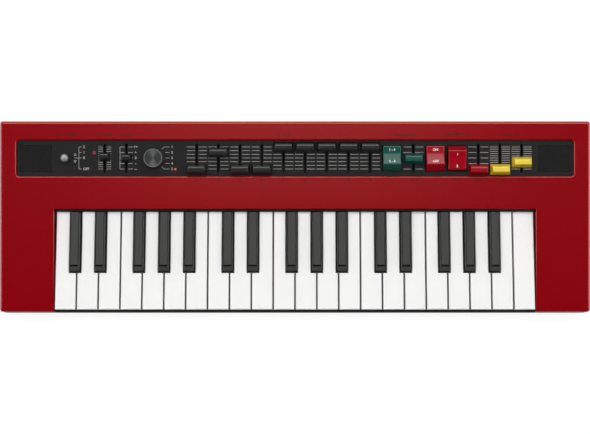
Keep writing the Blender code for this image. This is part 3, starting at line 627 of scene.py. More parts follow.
base = {
    **inMm(
        edge=0.5, bottom=3.0, footRadius=8.0, footRound=1.0, footRing=(1.6, 0), footDish=(1.2, -0.5),
        slipStep=0.85, lidStep=0.5, lidCorner=4.0, lidEdge=(0.5, 0.15), ribInset=6.0, ribPitch=3.0,
        ribHalf=0.6, ribHeight=0.5, ribEnds=(-2, 36), ribRound=0.25, screwRadius=2.9, screwHeight=1.1,
        screwRound=0.6,
        sink=0.02,  # the lid and the screws reach this far into the floor
        slipFoot=14.0,  # the slip in front of the keys hangs down to here
        cross=(1.7, 0.35, 0.7),  # reach, half width and depth
    ),
    "edgeAngle": 40,
    "lid": ((-72 * mm, -14 * mm), (72 * mm, 48 * mm)),
    "ribs": 5,
    "screwPlaces": [(x * mm, y * mm) for x in (-250, -125, 0, 125, 250) for y in (-76.5, 75)],
}


def makeBase():
    tray = mergedCopy("lower_case", "black_base")
    editAll(tray)
    bpy.ops.mesh.bisect(
        plane_co=(0, 0, base["bottom"] + base["sink"]), plane_no=(0, 0, 1), use_fill=True, clear_inner=True,
        threshold=hair,
    )
    front = cadBox[0][1]
    half = shell["openingHalf"] + mm
    step = newCube("slip_cutter", (-half, front - mm, 0), (half, front + base["slipStep"], base["slipFoot"]))
    cut(tray, step)
    weld(tray)
    breakEdges(tray, base["edge"], 2, base["edgeAngle"])
    finishPiece(tray, "base", stands=["lower_case"])


def makeFeet():
    for mount in frame["record"]["mounts"]:
        x, y, _ = mount["pos_m"]
        foot = newCylinder("rubber_" + mount["name"], base["footRadius"], 0, base["bottom"], 48, (x, y))
        insetFaces(foot, facesDown, base["footRing"], base["footDish"])

        def onRim(edge):
            away = (middle(edge).xy - Vector((x, y))).length
            return middle(edge).z < near and away > base["footRadius"] - near

        roundEdges(foot, onRim, base["footRound"], 3)
        finishPiece(foot, "rubber")


def makeLid():
    (left, front), (right, back) = base["lid"]
    under = base["bottom"] - base["lidStep"]
    lid = newCube("battery_lid", (left, front, under), (right, back, base["bottom"] + base["sink"]))
    roundEdges(lid, isUpright, base["lidCorner"], 5)
    insetFaces(lid, facesDown, base["lidEdge"])
    pieces = [lid]
    half = base["ribHalf"]
    ribFront, ribBack = base["ribEnds"]
    ribFoot = under - base["ribHeight"]
    for number in range(base["ribs"]):
        x = right - base["ribInset"] - number * base["ribPitch"]
        rib = newCube("lid_rib", (x - half, ribFront, ribFoot), (x + half, ribBack, under + near))
        roundEdges(rib, lambda edge: middle(edge).z < ribFoot + near, base["ribRound"])
        pieces.append(rib)
    finishPiece(joined(pieces, "battery_lid"), "base")


def makeScrews():
    top = base["bottom"] + base["sink"]
    under = top - base["screwHeight"]
    seed = newCylinder("base_screw", base["screwRadius"], under, top, 32)
    roundEdges(seed, lambda edge: middle(edge).z < under + near, base["screwRound"], 3)
    reach, arm, deep = base["cross"]
    for halfX, halfY in ((reach, arm), (arm, reach)):
        cut(seed, newCube("cross_cutter", (-halfX, -halfY, under - mm), (halfX, halfY, under + deep)))
    for number, (x, y) in enumerate(base["screwPlaces"], 1):
        screw = placed(copyOf(seed, f"base_screw_{number}"), Matrix.Translation((x, y, 0)))
        finishPiece(screw, "steel")
    discard(seed)


makeBase()
makeFeet()
makeLid()
makeScrews()
print("base made")


# Keys: the CAD shapes with their edges softened

keys = {
    **inMm(whiteEdge=0.28, blackEdge=0.45, foldRound=1.0),
    "foldSteps": 5,
}


def rollFold(key):
    # the black key's top rolls over into its sloping front
    top = max(corner.co.z for corner in key.data.vertices) - near
    front = min(corner.co.y for corner in key.data.vertices if corner.co.z > top) + near

    def onFold(edge):
        spot = middle(edge)
        return spot.z > top and spot.y < front and abs(span(edge).x) > mm

    roundEdges(key, onFold, keys["foldRound"], keys["foldSteps"])


def makeKeys():
    for node in sorted(name for name in nodes if name.startswith("key_")):
        key = mergedCopy(node, "soft_" + node)
        kind = "black" if node.endswith("sharp") else "white"
        if kind == "black":
            rollFold(key)
        breakEdges(key, keys[kind + "Edge"])
        finishPiece(key, kind, node, [node])


makeKeys()
print("keys made")


# Control panel: a plate with a slot for every slider, windows for the rockers and a grille at each end

panel = {
    **inMm(
        lap=3.4, thick=2.0, holeEdge=0.18, slot=(2.2, 25.6), window=(17.45, 23.81), knobHole=3.5,
        leverSlot=(5.0, 7.29), grilleMiddle=234.2, grilleSize=(29.9, 25.3), grilleWeb=0.5,
        grilleCorner=0.32, grilleThick=1.0,
    ),
    "grilleHoles": (13, 11),
}
largeCaps = ["drawbar_1", "drawbar_2", "drawbar_3", "drawbar_4", "vibrato_slider", "percussion_slider",
             "drive_slider", "reverb_slider"]
smallCaps = ["volume_slider", "octave_slider"]
rockerNodes = ["vibrato_rocker", "percussion_rocker", "percussion_type_rocker"]


def middleX(node):
    low, high = panelBox(node)
    return (low.x + high.x) / 2


tiedLow, tiedHigh = panelBox("drawbars_5_to_9")
capWidth = panelBox("drawbar_1")[1].x - panelBox("drawbar_1")[0].x
controlPitch = middleX("drawbar_2") - middleX("drawbar_1")
tiedPlaces = [tiedLow.x + capWidth / 2 + number * controlPitch for number in range(5)]
drawbarPlaces = [middleX(node) for node in largeCaps[:4]] + tiedPlaces
knobX = middleX("voice_knob")
leverX = middleX("speed_lever")


def plateHole(x, size):
    halfX, halfY = size[0] / 2, size[1] / 2
    return newCube("hole_cutter", (x - halfX, -halfY, -panel["thick"] - mm), (x + halfX, halfY, mm))


def makePanel():
    halfX = shell["windowHalf"][0] + panel["lap"]
    halfY = shell["windowHalf"][1] + panel["lap"]
    plate = newCube("black_panel", (-halfX, -halfY, -panel["thick"]), (halfX, halfY, 0))
    sliders = [middleX(node) for node in largeCaps + smallCaps] + tiedPlaces
    holes = [plateHole(x, panel["slot"]) for x in sliders]
    holes += [plateHole(middleX(node), panel["window"]) for node in rockerNodes]
    holes.append(plateHole(leverX, panel["leverSlot"]))
    holes += [plateHole(side * panel["grilleMiddle"], panel["grilleSize"]) for side in (-1, 1)]
    holes.append(newCylinder("hole_cutter", panel["knobHole"], -panel["thick"] - mm, mm, 32, (knobX, 0)))
    cut(plate, joined(holes, "panel_cutter"))
    weld(plate)
    innerX = panel["grilleMiddle"] - panel["grilleSize"][0]

    def atHole(edge):
        spot = middle(edge)
        onFace = abs(spot.z) < near and abs(spot.x) < innerX and abs(spot.y) < halfY - mm
        return onFace and any(abs(face.normal.z) < 0.1 for face in edge.link_faces)

    roundEdges(plate, atHole, panel["holeEdge"])
    finishPiece(onPanel(plate), "panel", stands=["control_panel"])


def makeGrilles():
    columns, rows = panel["grilleHoles"]
    width, depth = panel["grilleSize"]
    deselect()
    bpy.ops.mesh.primitive_grid_add(x_subdivisions=columns, y_subdivisions=rows, size=1)
    seed = bpy.context.object
    pick(seed, "FACE", lambda face: True)
    bpy.ops.transform.resize(value=(width, depth, 1), center_override=(0, 0, 0))
    bpy.ops.mesh.inset(thickness=panel["grilleWeb"], use_individual=True)
    bpy.ops.mesh.bevel(offset=panel["grilleCorner"], segments=1, affect="VERTICES")
    bpy.ops.mesh.delete(type="FACE")
    applied(seed, "SOLIDIFY", thickness=panel["grilleThick"], offset=-1)
    for side, name in ((-1, "grille_left"), (1, "grille_right")):
        grille = onPanel(copyOf(seed, name), side * panel["grilleMiddle"])
        finishPiece(grille, "panel")
    discard(seed)


makePanel()
makeGrilles()
print("panel made")


# Slider caps: a low plate drawn up to a narrow crest that rolls over to the back, on a stem

cap = {
    **inMm(
        lift=0.9, plate=0.6, taper=1.5, stem=(1.6, 4.0), stemDrop=8.5, edgeRound=0.4, tieHalf=1.7,
        tieSpan=(-4.7, -2.5),
    ),
    "crestShare": 0.48,
    "rollShare": 0.20,
    "rollSteps": 8,
    "finishes": {"vibrato": ("green", "cap_green"), "percussion": ("redCap", "cap_red"),
                 "drive": ("yellow", "cap_yellow"), "reverb": ("yellow", "cap_yellow")},
}


def makeCap(name, node):
    # modelled about its own middle line, from the size of its CAD node
    low, high = panelBox(node)
    width = capWidth if node == "drawbars_5_to_9" else high.x - low.x
    depth = high.y - low.y
    plateTop = cap["lift"] + cap["plate"]
    made = newCube(name, (-width / 2, -depth / 2, cap["lift"]), (width / 2, depth / 2, plateTop))
    crestWidth = width - 2 * cap["taper"]
    pick(made, "FACE", facesUp)
    drawOut((0, 0, high.z - plateTop), (crestWidth / width, cap["crestShare"], 1))

    def onCrestBack(edge):
        return middle(edge).z > high.z - near and middle(edge).y > mm

    def abovePlate(edge):
        return middle(edge).z > cap["lift"] + near and isSharp(edge)

    roundEdges(made, onCrestBack, depth * cap["rollShare"], cap["rollSteps"])
    roundEdges(made, abovePlate, cap["edgeRound"], 3)
    pick(made, "FACE", facesDown)
    drawOut((0, 0, 0), (cap["stem"][0] / width, cap["stem"][1] / depth, 1))
    drawOut((0, 0, -cap["stemDrop"] - cap["lift"]))
    return made


def capFinish(node):
    return cap["finishes"].get(node.split("_")[0], ("slate", "cap_slate"))


def makeCaps():
    for node in largeCaps + smallCaps:
        low, high = panelBox(node)
        made = onPanel(makeCap("cap_" + node, node), middleX(node), (low.y + high.y) / 2)
        finish, slot = capFinish(node)
        finishPiece(made, finish, node, [node])
    seed = makeCap("tied_cap", "drawbars_5_to_9")
    setting = (tiedLow.y + tiedHigh.y) / 2
    caps = [onPanel(copyOf(seed, "tied_cap"), x, setting) for x in tiedPlaces]
    discard(seed)
    half = cap["tieHalf"]
    bottom, top = cap["tieSpan"]
    tie = newCube("tie_bar", (tiedPlaces[0], -half, bottom), (tiedPlaces[-1], half, top))
    tiedCaps = joined([onPanel(tie, 0, setting)] + caps, "cap_drawbars_5_to_9")
    finishPiece(tiedCaps, "slate", "drawbars_5_to_9", ["drawbars_5_to_9"])


makeCaps()
print("slider caps made")


# Lettering: plain numbers and signs, thin enough to lie on a surface as ink

lettering = {
    "weight": 0.03,
    "thick": 0.02 * mm,
    "curveSteps": 3,
}


def newLabel(words, size, weight=lettering["weight"]):
    deselect()
    bpy.ops.object.text_add()
    text = bpy.context.object.data
    text.body = words
    text.size = size
    text.extrude = lettering["thick"]
    text.offset = weight * size
    text.resolution_u = lettering["curveSteps"]
    text.align_x = text.align_y = "CENTER"
    bpy.ops.object.convert(target="MESH")
    return bpy.context.object


# Rockers: a block cut across, raised at both crests and hollowed between them

rocker = {
    **inMm(
        width=16.45, length=23.2, frontCrest=-8.3, rearCrest=9.2, crestHeight=10.0, hollow=0.95,
        endHeight=0.4, bottom=-3.0, bottomHalf=8.0, round=1.1, wordPlaces=(5.6, -5.2), wordSize=3.0,
    ),
    "cuts": 12,
    "tilt": math.radians(13),
    "words": {"vibrato_rocker": ("1 - 4", "5 - 8"), "percussion_rocker": ("ON", "OFF"),
              "percussion_type_rocker": ("1", "2")},
}


def rockerTop(y):
    # height of the hollow between the crests
    middleY = (rocker["frontCrest"] + rocker["rearCrest"]) / 2
    share = (y - middleY) / (rocker["rearCrest"] - middleY)
    return rocker["crestHeight"] - rocker["hollow"] * (1 - share * share)


def makeRockerSeed():
    halfX, halfY = rocker["width"] / 2, rocker["length"] / 2
    aboveFoot = rocker["endHeight"] / 2
    made = newCube("rocker_seed", (-halfX, -halfY, 0), (halfX, halfY, rocker["endHeight"]))
    step = (rocker["rearCrest"] - rocker["frontCrest"]) / rocker["cuts"]
    lines = [rocker["frontCrest"] + number * step for number in range(rocker["cuts"] + 1)]
    for y in lines:
        pick(made, "FACE", lambda face: True)
        bpy.ops.mesh.bisect(plane_co=(0, y, 0), plane_no=(0, 1, 0))
    for y in lines:
        pick(made, "VERT", lambda corner: abs(corner.co.y - y) < near and corner.co.z > aboveFoot)
        bpy.ops.transform.translate(value=(0, 0, rockerTop(y) - rocker["endHeight"]))
    pick(made, "FACE", facesDown)
    drawOut((0, 0, rocker["bottom"]), (1, rocker["bottomHalf"] / halfY, 1))
    roundEdges(made, lambda edge: middle(edge).z > aboveFoot and isSharp(edge), rocker["round"], 4)
    return made


def rockerFrame(node):
    joint = joints[node + "_rock"]
    lean = -rocker["tilt"] if max(joint["range_deg"]) > 0 else rocker["tilt"]
    return Matrix.Translation(joint["pos_m"]) @ Matrix.Rotation(tilt + lean, 4, "X")


def makeRockers():
    seed = makeRockerSeed()
    for node in rockerNodes:
        made = placed(copyOf(seed, "switch_" + node), rockerFrame(node))
        finish, slot = capFinish(node)
        finishPiece(made, finish, node, [node])
        labels = []
        for words, y in zip(rocker["words"][node], rocker["wordPlaces"]):
            lean = math.atan2(rockerTop(y + near) - rockerTop(y - near), 2 * near)
            spot = Matrix.Translation((0, y, rockerTop(y) + lettering["thick"]))
            spot = rockerFrame(node) @ spot @ Matrix.Rotation(lean, 4, "X")
            labels.append(placed(newLabel(words, rocker["wordSize"]), spot))
        finishPiece(joined(labels, "print_" + node), "capInk", node)
    discard(seed)


makeRockers()
print("rockers made")


# Voice knob: a tapered drum with a fluted skirt, a raised rim and a dished, spun face

knob = {
    **inMm(
        radius=8.6, topRadius=8.3, lift=0.8, height=9.4, rim=0.7, rimRound=0.3, dish=(0.3, -0.4),
        flute=0.12, shaftRadius=3.0, shaftDrop=6.0, pointer=(5.2, 6.6), pointerHalf=0.25, fanBlur=0.4,
        pointerSpan=(-0.05, 0.04),  # below and above the dished face
    ),
    "sides": 72,
    "pointerTurn": -45,
    # colours of the painted highlight fans on the face, palest towards the back and the front
    "sheenFans": [
        (0.0, (0.115, 0.118, 0.122, 1)), (0.35, (0.088, 0.091, 0.094, 1)),
        (0.70, (0.030, 0.031, 0.033, 1)), (1.0, (0.025, 0.026, 0.028, 1)),
    ],
    # the rim's pale colour is a painted highlight
    "rimHighlight": grey(0.12),
}


def spunMetal():
    # concentric turning marks, with painted highlights: paler in two fans towards the back and the front, and a
    # pale rim
    wire = newFinish("spun_metal", fixed={"Metallic": 0.3})
    place = panelPlace(wire, (knobX, 0, 0))
    across, along = place.axis("X"), place.axis("Y")
    away = wire.maths("SQRT", across * across + along * along)
    turned = wire.maths("DIVIDE", abs(across), away + knob["fanBlur"])
    rings = wire.node(
        "ShaderNodeTexWave", {"wave_type": "RINGS", "rings_direction": "Z"},
        {"Vector": place, "Scale": 900, "Distortion": 0.6, "Detail": 1},
    )
    # the pale fans are painted highlights of the turning marks
    face = blended(wire, rings * 0.25, ramped(wire, knob["sheenFans"], turned), grey(0.03))
    # a pale ring on the rim, painted as a highlight
    onRim = away > knob["topRadius"] - knob["rim"]
    colour = blended(wire, onRim, face, knob["rimHighlight"])
    return painted(wire, colour, 0.34 + rings * 0.08, rings, 0.006)


def makeKnob():
    drum = newCylinder("spun_knob", knob["radius"], knob["lift"], knob["height"], knob["sides"])
    pick(drum, "FACE", facesUp)
    narrow = knob["topRadius"] / knob["radius"]
    bpy.ops.transform.resize(value=(narrow, narrow, 1), center_override=(0, 0, 0))
    insetFaces(drum, facesUp, (knob["rim"], 0), knob["dish"])

    def onRim(edge):
        flat = abs(span(edge).z) < near
        return flat and middle(edge).z > knob["height"] - near and isSharp(edge, 17)

    def onSkirt(face):
        return abs(face.normal.z) < 0.2 and face.calc_area() > 2 * mm * mm

    roundEdges(drum, onRim, knob["rimRound"], 3)
    pick(drum, "FACE", onSkirt)
    bpy.ops.mesh.inset(thickness=knob["flute"], depth=-knob["flute"], use_individual=True)
    pick(drum, "FACE", facesDown)
    narrow = knob["shaftRadius"] / knob["radius"]
    drawOut((0, 0, 0), (narrow, narrow, 1))
    drawOut((0, 0, -knob["shaftDrop"] - knob["lift"]))
    finishes["spun"] = spunMetal()
    finishPiece(onPanel(drum, knobX), "spun", "voice_knob", ["voice_knob"], 40)

    face = knob["height"] + knob["dish"][1]
    inner, outer = knob["pointer"]
    half = knob["pointerHalf"]
    bottom, top = knob["pointerSpan"]
    mark = newCube("knob_pointer", (inner, -half, face + bottom), (outer, half, face + top))
    turned = Matrix.Translation((knobX, 0, 0)) @ Matrix.Rotation(math.radians(knob["pointerTurn"]), 4, "Z")
    placed(mark, panelFrame @ turned)
    finishPiece(mark, "slate", "voice_knob")


makeKnob()
print("knob made")


# Speed lever: a ball of satin metal on a tapering neck

lever = {
    **inMm(ball=3.6, ballHeight=5.8, neck=1.4, root=2.0, foot=-8.0),
    "tipShare": 0.7,
}


def makeLever():
    deselect()
    bpy.ops.mesh.primitive_uv_sphere_add(
        segments=48, ring_count=24, radius=lever["ball"], location=(0, 0, lever["ballHeight"])
    )
    ball = newest("lever_ball")
    low = lever["ballHeight"] - lever["ball"] * math.cos(math.asin(lever["neck"] / lever["ball"]))
    pick(ball, "FACE", lambda face: middle(face).z < low)
    bpy.ops.mesh.delete(type="FACE")
    pick(ball, "EDGE", lambda edge: edge.is_boundary)
    corners = bmesh.from_edit_mesh(ball.data).verts
    edgeHeight = min(corner.co.z for corner in corners)
    edgeRadius = max(corner.co.xy.length for corner in corners if corner.co.z < edgeHeight + hair)
    widen = lever["root"] / edgeRadius
    tip = lever["tipShare"]
    drawOut((0, 0, -edgeHeight), (widen, widen, 1))
    drawOut((0, 0, lever["foot"] + lever["root"]))
    drawOut((0, 0, -lever["root"] * tip), (tip, tip, 1))
    bpy.ops.mesh.edge_face_add()
    onPanel(ball, leverX)
    finishPiece(ball, "satinMetal", "speed_lever", ["speed_lever"], 50)


makeLever()
print("lever made")


# Printed scales and plain numbers: pale ink on the panel, dark ink on the red deck

scales = {
    **inMm(
        line=0.38, inkSpan=(-0.02, 0.03), textLift=0.01, tickInner=1.7, tickOuter=9.0, smallOuter=5.8,
        top=10.3, bottom=-9.6, textSize=3.1, octaveText=8.4, bracketX=-195.1, bracketTick=2.4,
        bracketTail=4.3, arrowBack=3.4, arrowHalf=1.1, arrowRise=2.2, arrowLine=0.35, leaderEnd=14.0,
        leaderBend=2.0, leaderText=2.4, aboveDeck=21.0, belowDeck=-19.8,
        bracketText=(3.6, 1.0),  # to the words' middle: a start, and more for each letter
        leaderStart=(9.2, 10.4),  # of the outer two and of the rest
    ),
    "drawbarTicks": 7,
    "largeTicks": {"vibrato_slider": 5, "percussion_slider": 5, "drive_slider": 11, "reverb_slider": 11},
    "smallTicks": {"volume_slider": 11, "octave_slider": 5},
    "deckWeight": 0.045,
    "belowWords": {"vibrato_slider": "0 - 4", "percussion_type_rocker": "1 / 2", "percussion_slider": "0 - 4",
                   "drive_slider": "0 - 10", "reverb_slider": "0 - 10"},
}


def rowsOf(count):
    step = (scales["top"] - scales["bottom"]) / (count - 1)
    return [scales["top"] - number * step for number in range(count)]


def newText(words, x, y, weight=lettering["weight"]):
    made = newLabel(words, scales["textSize"], weight)
    made.location = (x, y, scales["textLift"])
    return made


def makePanelPrint():
    bottom, top = scales["inkSpan"]
    seed = newCube("ink_bar", (-mm / 2, -mm / 2, bottom), (mm / 2, mm / 2, top))
    marks = []

    def bar(start, end, thick=scales["line"]):
        start, end = Vector(start), Vector(end)
        along = end - start
        made = copyOf(seed, "ink_bar")
        made.location = ((start + end) / 2).to_3d()
        made.rotation_euler.z = math.atan2(along.y, along.x)
        made.scale = (along.length / mm, thick / mm, 1)
        marks.append(made)

    def ticks(x, count, outer):
        for y in rowsOf(count):
            for side in (-1, 1):
                bar((x + side * scales["tickInner"], y), (x + side * outer, y))

    for x in drawbarPlaces:
        ticks(x, scales["drawbarTicks"], scales["tickOuter"])
    for kind, outer in (("largeTicks", "tickOuter"), ("smallTicks", "smallOuter")):
        for node, count in scales[kind].items():
            ticks(middleX(node), count, scales[outer])

    rows = rowsOf(5)
    octaveX = middleX("octave_slider")
    octaveEdge = octaveX - scales["smallOuter"]
    bar((octaveEdge, rows[0]), (octaveEdge, rows[-1]))
    for words, y in zip(("++", "+", "0", "-", "--"), rows):
        marks.append(newText(words, octaveX + scales["octaveText"], y))

    # the lever's bracket, arrowheads and numbers
    bracketX = scales["bracketX"]
    textStart, textMore = scales["bracketText"]
    bar((bracketX, rows[0]), (bracketX, rows[4]))
    for y, words in zip((rows[0], rows[1], rows[2], rows[4]), ("2", "1", "0", "OFF")):
        bar((bracketX, y), (bracketX + scales["bracketTick"], y))
        marks.append(newText(words, bracketX + textStart + len(words) * textMore, y))
    bar((bracketX - scales["bracketTail"], rows[2]), (bracketX, rows[2]))
    arrowX = bracketX - scales["arrowBack"]
    for side in (-1, 1):
        y = rows[2] + side * scales["arrowRise"]
        tip = (arrowX, y + side * scales["arrowRise"])
        left, right = (arrowX - scales["arrowHalf"], y), (arrowX + scales["arrowHalf"], y)
        for start, end in ((left, right), (left, tip), (right, tip)):
            bar(start, end, scales["arrowLine"])

    # the knob's five leaders, the outer two bent towards it
    leaderEnd = knobX + scales["leaderEnd"]
    outerStart, innerStart = scales["leaderStart"]
    bend = scales["leaderBend"]
    for number, y in enumerate(rows):
        outer = number in (0, 4)
        start = knobX + (outerStart if outer else innerStart)
        bar((start, y), (leaderEnd, y))
        if outer:
            bar((start, y), (start - bend, y - math.copysign(bend, y)))
        marks.append(newText(str(number + 1), leaderEnd + scales["leaderText"], y))
    discard(seed)
    finishPiece(onPanel(joined(marks, "panel_print")), "ink")


def makeDeckPrint():
    # ranges above the panel and numbers below it
    def between(first, last):
        return (middleX(first) + middleX(last)) / 2

    above = [
        ("0 - 1 - 2 - OFF", leverX), ("0 - 5 - 10", middleX("volume_slider")),
        ("-2 0 +2", middleX("octave_slider")), ("1 - 5", knobX), ("1 - 5 - 9", drawbarPlaces[4]),
        ("1 - 4 / 5 - 8 / 0 - 4", between("vibrato_rocker", "vibrato_slider")),
        ("ON / OFF / 0 - 4", between("percussion_rocker", "percussion_slider")),
        ("0 - 5 - 10", between("drive_slider", "reverb_slider")),
    ]
    below = [(str(number), x) for number, x in enumerate(drawbarPlaces, 1)]
    below += [(words, middleX(node)) for node, words in scales["belowWords"].items()]
    marks = []
    for row, y in ((above, scales["aboveDeck"]), (below, scales["belowDeck"])):
        for words, x in row:
            marks.append(newText(words, x, y, scales["deckWeight"]))
    finishPiece(onPanel(joined(marks, "deck_print"), 0, 0, deckLift), "darkInk")


makePanelPrint()
makeDeckPrint()
print("scales printed")


# Lamps: a ring by the lever's scale and a small square lens by the knob's

lamp = {
    **inMm(
        ringPlace=(-181.2, 5.2), ringRadius=1.65, ringBore=0.8, boreStep=(0.1, -0.25),
        lensPlace=(-108.0, -9.8), lensHalf=1.0, lensCorner=0.4, height=0.35, sink=0.3,
    ),
    "lensCrown": (0.15 * mm, 0.6),  # its rise, and the share of the width left at its top
    "ringColours": ((0.25, 0.012, 0.050, 1), (0.01, 0.001, 0.002, 1)),
    "lensColours": ((0.55, 0.060, 0.030, 1), (0.80, 0.260, 0.190, 1)),
    "glow": 0.7,
}


def litLens(name, place, radius, colours):
    # its glow runs from its core to its edge
    edge, core = colours
    wire = newFinish(name, fixed={"Roughness": 0.25, "Emission Strength": lamp["glow"]})
    fromCore = panelPlace(wire, (*place, 0))
    away = wire.node("ShaderNodeVectorMath", {"operation": "LENGTH"}, {0: fromCore}, "Value")
    outward = (away * (1 / radius)).capped()
    blended(wire, outward, core, edge).into(wire.inputs["Emission Color"])
    blended(wire, outward, edge, grey(0.02)).into(wire.inputs["Base Color"])
    return wire.made


def makeLamps():
    ring = newCylinder("lamp_ring", lamp["ringRadius"], -lamp["sink"], lamp["height"], 24)
    insetFaces(ring, facesUp, (lamp["ringRadius"] - lamp["ringBore"], 0), lamp["boreStep"])
    finishes["redLamp"] = litLens("red_lamp", lamp["ringPlace"], lamp["ringRadius"], lamp["ringColours"])
    finishPiece(onPanel(ring, *lamp["ringPlace"]), "redLamp")
    half = lamp["lensHalf"]
    rise, share = lamp["lensCrown"]
    lens = newCube("lamp_lens", (-half, -half, -lamp["sink"]), (half, half, lamp["height"]))
    roundEdges(lens, isUpright, lamp["lensCorner"], 3)
    pick(lens, "FACE", facesUp)
    drawOut((0, 0, rise), (share, share, 1))
    finishes["amberLamp"] = litLens("amber_lamp", lamp["lensPlace"], half, lamp["lensColours"])
    finishPiece(onPanel(lens, *lamp["lensPlace"]), "amberLamp")


makeLamps()
print("lamps made")


# Rear sockets: nuts on the jacks, a pin in the power inlet and a tongue in the data port

sockets = {
    **inMm(
        nutRadius=8.2, nutThick=2.2, nutRound=0.35, bore=5.75, pinRadius=1.0, pinLength=14.0,
        pinRound=0.5, pinInset=3.0, tongue=(5.4, 2.6), tongueInset=1.0, tongueRound=0.4,
    ),
    "plateFace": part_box("upper_case")[1].y - 0.3 * mm,
    "depth": cadBox[1][1],
}


def alongDepth(x, z, y):
    # turns a piece modelled upright so that its top faces the back of the case
    return Matrix.Translation((x, y, z)) @ Matrix.Rotation(-math.pi / 2, 4, "X")


def makeTongue(x, z, inner):
    halfX, halfZ = sockets["tongue"][0] / 2, sockets["tongue"][1] / 2
    outer = sockets["depth"] - sockets["tongueInset"]
    tongue = newCube("port_tongue", (x - halfX, inner, z - halfZ), (x + halfX, outer, z + halfZ))
    roundEdges(tongue, lambda edge: abs(span(edge).y) > mm, sockets["tongueRound"])
    finishPiece(tongue, "socket")


def makePin(x, z):
    length = sockets["pinLength"]
    pin = newCylinder("inlet_pin", sockets["pinRadius"], 0, length, 24)
    roundEdges(
        pin, lambda edge: middle(edge).z > length - near and not isUpright(edge), sockets["pinRound"], 3
    )
    root = sockets["depth"] - sockets["pinInset"] - length
    finishPiece(placed(pin, alongDepth(x, z, root)), "nickel")


def makeSockets():
    nut = newCylinder("jack_nut", sockets["nutRadius"], 0, sockets["nutThick"], 6)
    cut(nut, newCylinder("nut_bore", sockets["bore"], -mm, sockets["nutThick"] + mm, 32))
    weld(nut)

    def onNutEdge(edge):
        return middle(edge).xy.length > sockets["bore"] + near and middle(edge).z > near

    roundEdges(nut, onNutEdge, sockets["nutRound"])
    for opening in frame["record"]["physics"]["openings"]:
        low, high = (Vector(corner) for corner in opening["box_m"])
        x, z = (low.x + high.x) / 2, (low.z + high.z) / 2
        name = opening["name"]
        if name == "data_port":
            makeTongue(x, z, low.y)
        elif name == "power_inlet":
            makePin(x, z)
        else:
            made = placed(copyOf(nut, "nut_" + name), alongDepth(x, z, sockets["plateFace"]))
            finishPiece(made, "nickel", angle=30)
    discard(nut)


makeSockets()
print("sockets made")


# CAD nodes that stay get their own finishes

inside = {
    "trackFrom": -10.8 * mm,  # what stands higher on the board than this is a dark track or switch
    "socketDepth": 23.2 * mm,
    "finishes": {"keybed_frame": "frame", "main_board": "board",
                 "speaker_left": "paper", "speaker_right": "paper"},
}


def boardFinish(socketsFrom):
    # green solder mask, dark slide tracks standing on it and black socket bodies at the back
    wire = newFinish("circuit_board")
    place = objectPlace(wire)
    traces = wire.node("ShaderNodeTexBrick", {}, {
        "Vector": place, "Scale": 180, "Color1": (0.012, 0.10, 0.035, 1),
        "Color2": (0.010, 0.085, 0.03, 1), "Mortar": (0.02, 0.15, 0.06, 1),
    })
    mounted = panelPlace(wire).axis("Z") > inside["trackFrom"]
    board = blended(wire, mounted, traces, (0.014, 0.014, 0.015, 1))
    colour = blended(wire, place.axis("Y") > socketsFrom, board, (0.012, 0.012, 0.013, 1))
    return painted(wire, colour, 0.42 + noise(wire, place, 900) * 0.15)


finishes["board"] = boardFinish(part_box("upper_case")[1].y - inside["socketDepth"])
for node, finish in inside["finishes"].items():
    dress(nodes[node], finish)
print("inner parts dressed")


# Floor, light and camera

studio = {
    "floorSize": 6.0,
    "floor": {"Base Color": grey(0.18), "Roughness": 0.9},
    "floorTopUp": 0.86,
    "floorMirrored": 0.10,
    "fill": grey(0.28),
    "lamps": {  # place, size, power and the rays that each one acts on
        "overhead_light": ((0.0, 0.2, 2.4), (3.2, 1.3), 58.0, "diffuse"),
        "rear_light": ((0.0, 1.245, 1.565), (2.6, 1.456), 33.5, "glossy"),
        "left_light": ((-1.7, 0.0, 1.4), (0.9, 1.6), 11.0, "glossy"),
        "right_light": ((1.7, 0.0, 1.4), (0.9, 1.6), 11.0, "glossy"),
    },
    "skyStops": greys((0.0, 0.01), (0.45, 0.02), (0.62, 0.7), (0.80, 1.1), (1.0, 1.2)),
    "glowAcross": greys((0.0, 1.0), (0.15, 0.95), (0.25, 0.7), (0.35, 0.35), (0.45, 0.12), (0.60, 0.0)),
    "glowAlong": greys(
        (0.10, 0.0), (0.20, 0.16), (0.28, 0.38), (0.36, 0.46), (0.45, 0.46), (0.55, 0.20), (0.65, 0.0)
    ),
    "glowSpread": 0.4,
}


def rays(wire, kind):
    return wire.node("ShaderNodeLightPath", {}, {}, f"Is {kind} Ray")


def seenRays(wire):
    # 1 for rays from the camera, from glossy and from clear surfaces
    return (rays(wire, "Camera") + rays(wire, "Glossy") + rays(wire, "Transmission")).capped()


def makeFloor():
    deselect()
    bpy.ops.mesh.primitive_plane_add(size=studio["floorSize"])
    floor = newest("floor")
    wire = newFinish("pale_floor", 0.0, studio["floor"])
    mirrored = studio["floorMirrored"]
    lift = rays(wire, "Camera") * (studio["floorTopUp"] - mirrored) + seenRays(wire) * mirrored
    glow = wire.node("ShaderNodeEmission", {}, {"Strength": lift})
    parts = wire.tree.nodes
    matte = Wire(wire.tree, parts["Principled BSDF"].outputs[0])
    both = wire.node("ShaderNodeAddShader", {}, {0: matte, 1: glow})
    both.into(parts["Material Output"].inputs["Surface"])
    floor.data.materials.append(wire.made)


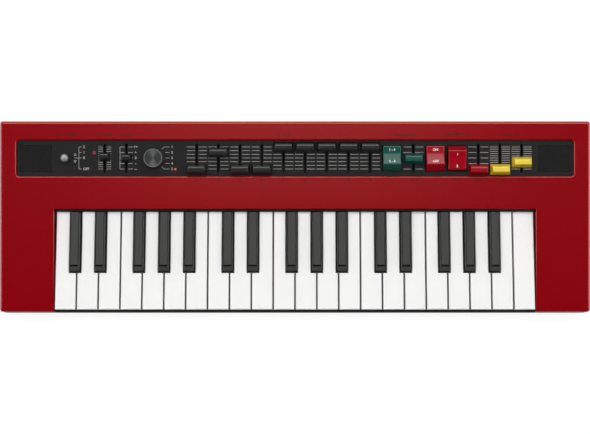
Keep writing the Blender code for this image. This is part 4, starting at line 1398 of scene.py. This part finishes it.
def makeLamplight():
    for name, (place, size, power, actsOn) in studio["lamps"].items():
        bpy.ops.object.light_add(type="AREA", location=place)
        made = bpy.context.object
        made.name = name
        made.data.shape = "RECTANGLE"
        made.data.size, made.data.size_y = size
        made.data.energy = power
        made.visible_glossy = actsOn == "glossy"
        made.visible_diffuse = actsOn == "diffuse"
        made.rotation_mode = "QUATERNION"
        made.rotation_quaternion = (-Vector(place)).to_track_quat("-Z", "Y")


def makeSky():
    world = bpy.data.worlds.new("studio")
    bpy.context.scene.world = world
    world.use_nodes = True
    wire = Wire(world.node_tree)
    towards = wire.node("ShaderNodeTexCoord", {}, {}, "Generated")
    # bright low down behind and to both sides, dark overhead and in front
    toSide, toRear = abs(towards.axis("X")), towards.axis("Y")
    sky = ramped(wire, studio["skyStops"], wire.maths("MAXIMUM", toSide, toRear))
    # and a soft glow straight above
    spread = 1 / studio["glowSpread"]
    across = ramped(wire, studio["glowAcross"], toSide * spread)
    along = ramped(wire, studio["glowAlong"], toRear * spread + 0.5)
    glow = blended(wire, 1.0, along, across, "MULTIPLY")
    both = blended(wire, 1.0, sky, glow, "ADD")
    seen = blended(wire, seenRays(wire), studio["fill"], both)
    background = world.node_tree.nodes["Background"]
    blended(wire, rays(wire, "Camera"), seen, grey(1.0)).into(background.inputs["Color"])


viewpoint = {
    "distance": 1175 * mm,
    "lens": 79.6,
    "below": 0.6 * mm,  # the picture's middle lies this far down the slope from the deck's
}


def makeCamera():
    low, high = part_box("upper_case")
    middleY = (low.y + high.y) / 2
    deckMiddle = Vector((0, middleY, deckHeight(middleY)))
    outward = panelFrame.to_3x3() @ Vector((0, 0, 1))
    target = deckMiddle - slope * viewpoint["below"]
    bpy.ops.object.camera_add(location=target + outward * viewpoint["distance"], rotation=(tilt, 0, 0))
    camera = bpy.context.object
    camera.data.lens = viewpoint["lens"]
    bpy.context.scene.camera = camera


makeFloor()
makeLamplight()
makeSky()
makeCamera()
bpy.context.scene.view_settings.view_transform = "Standard"
print("studio ready")
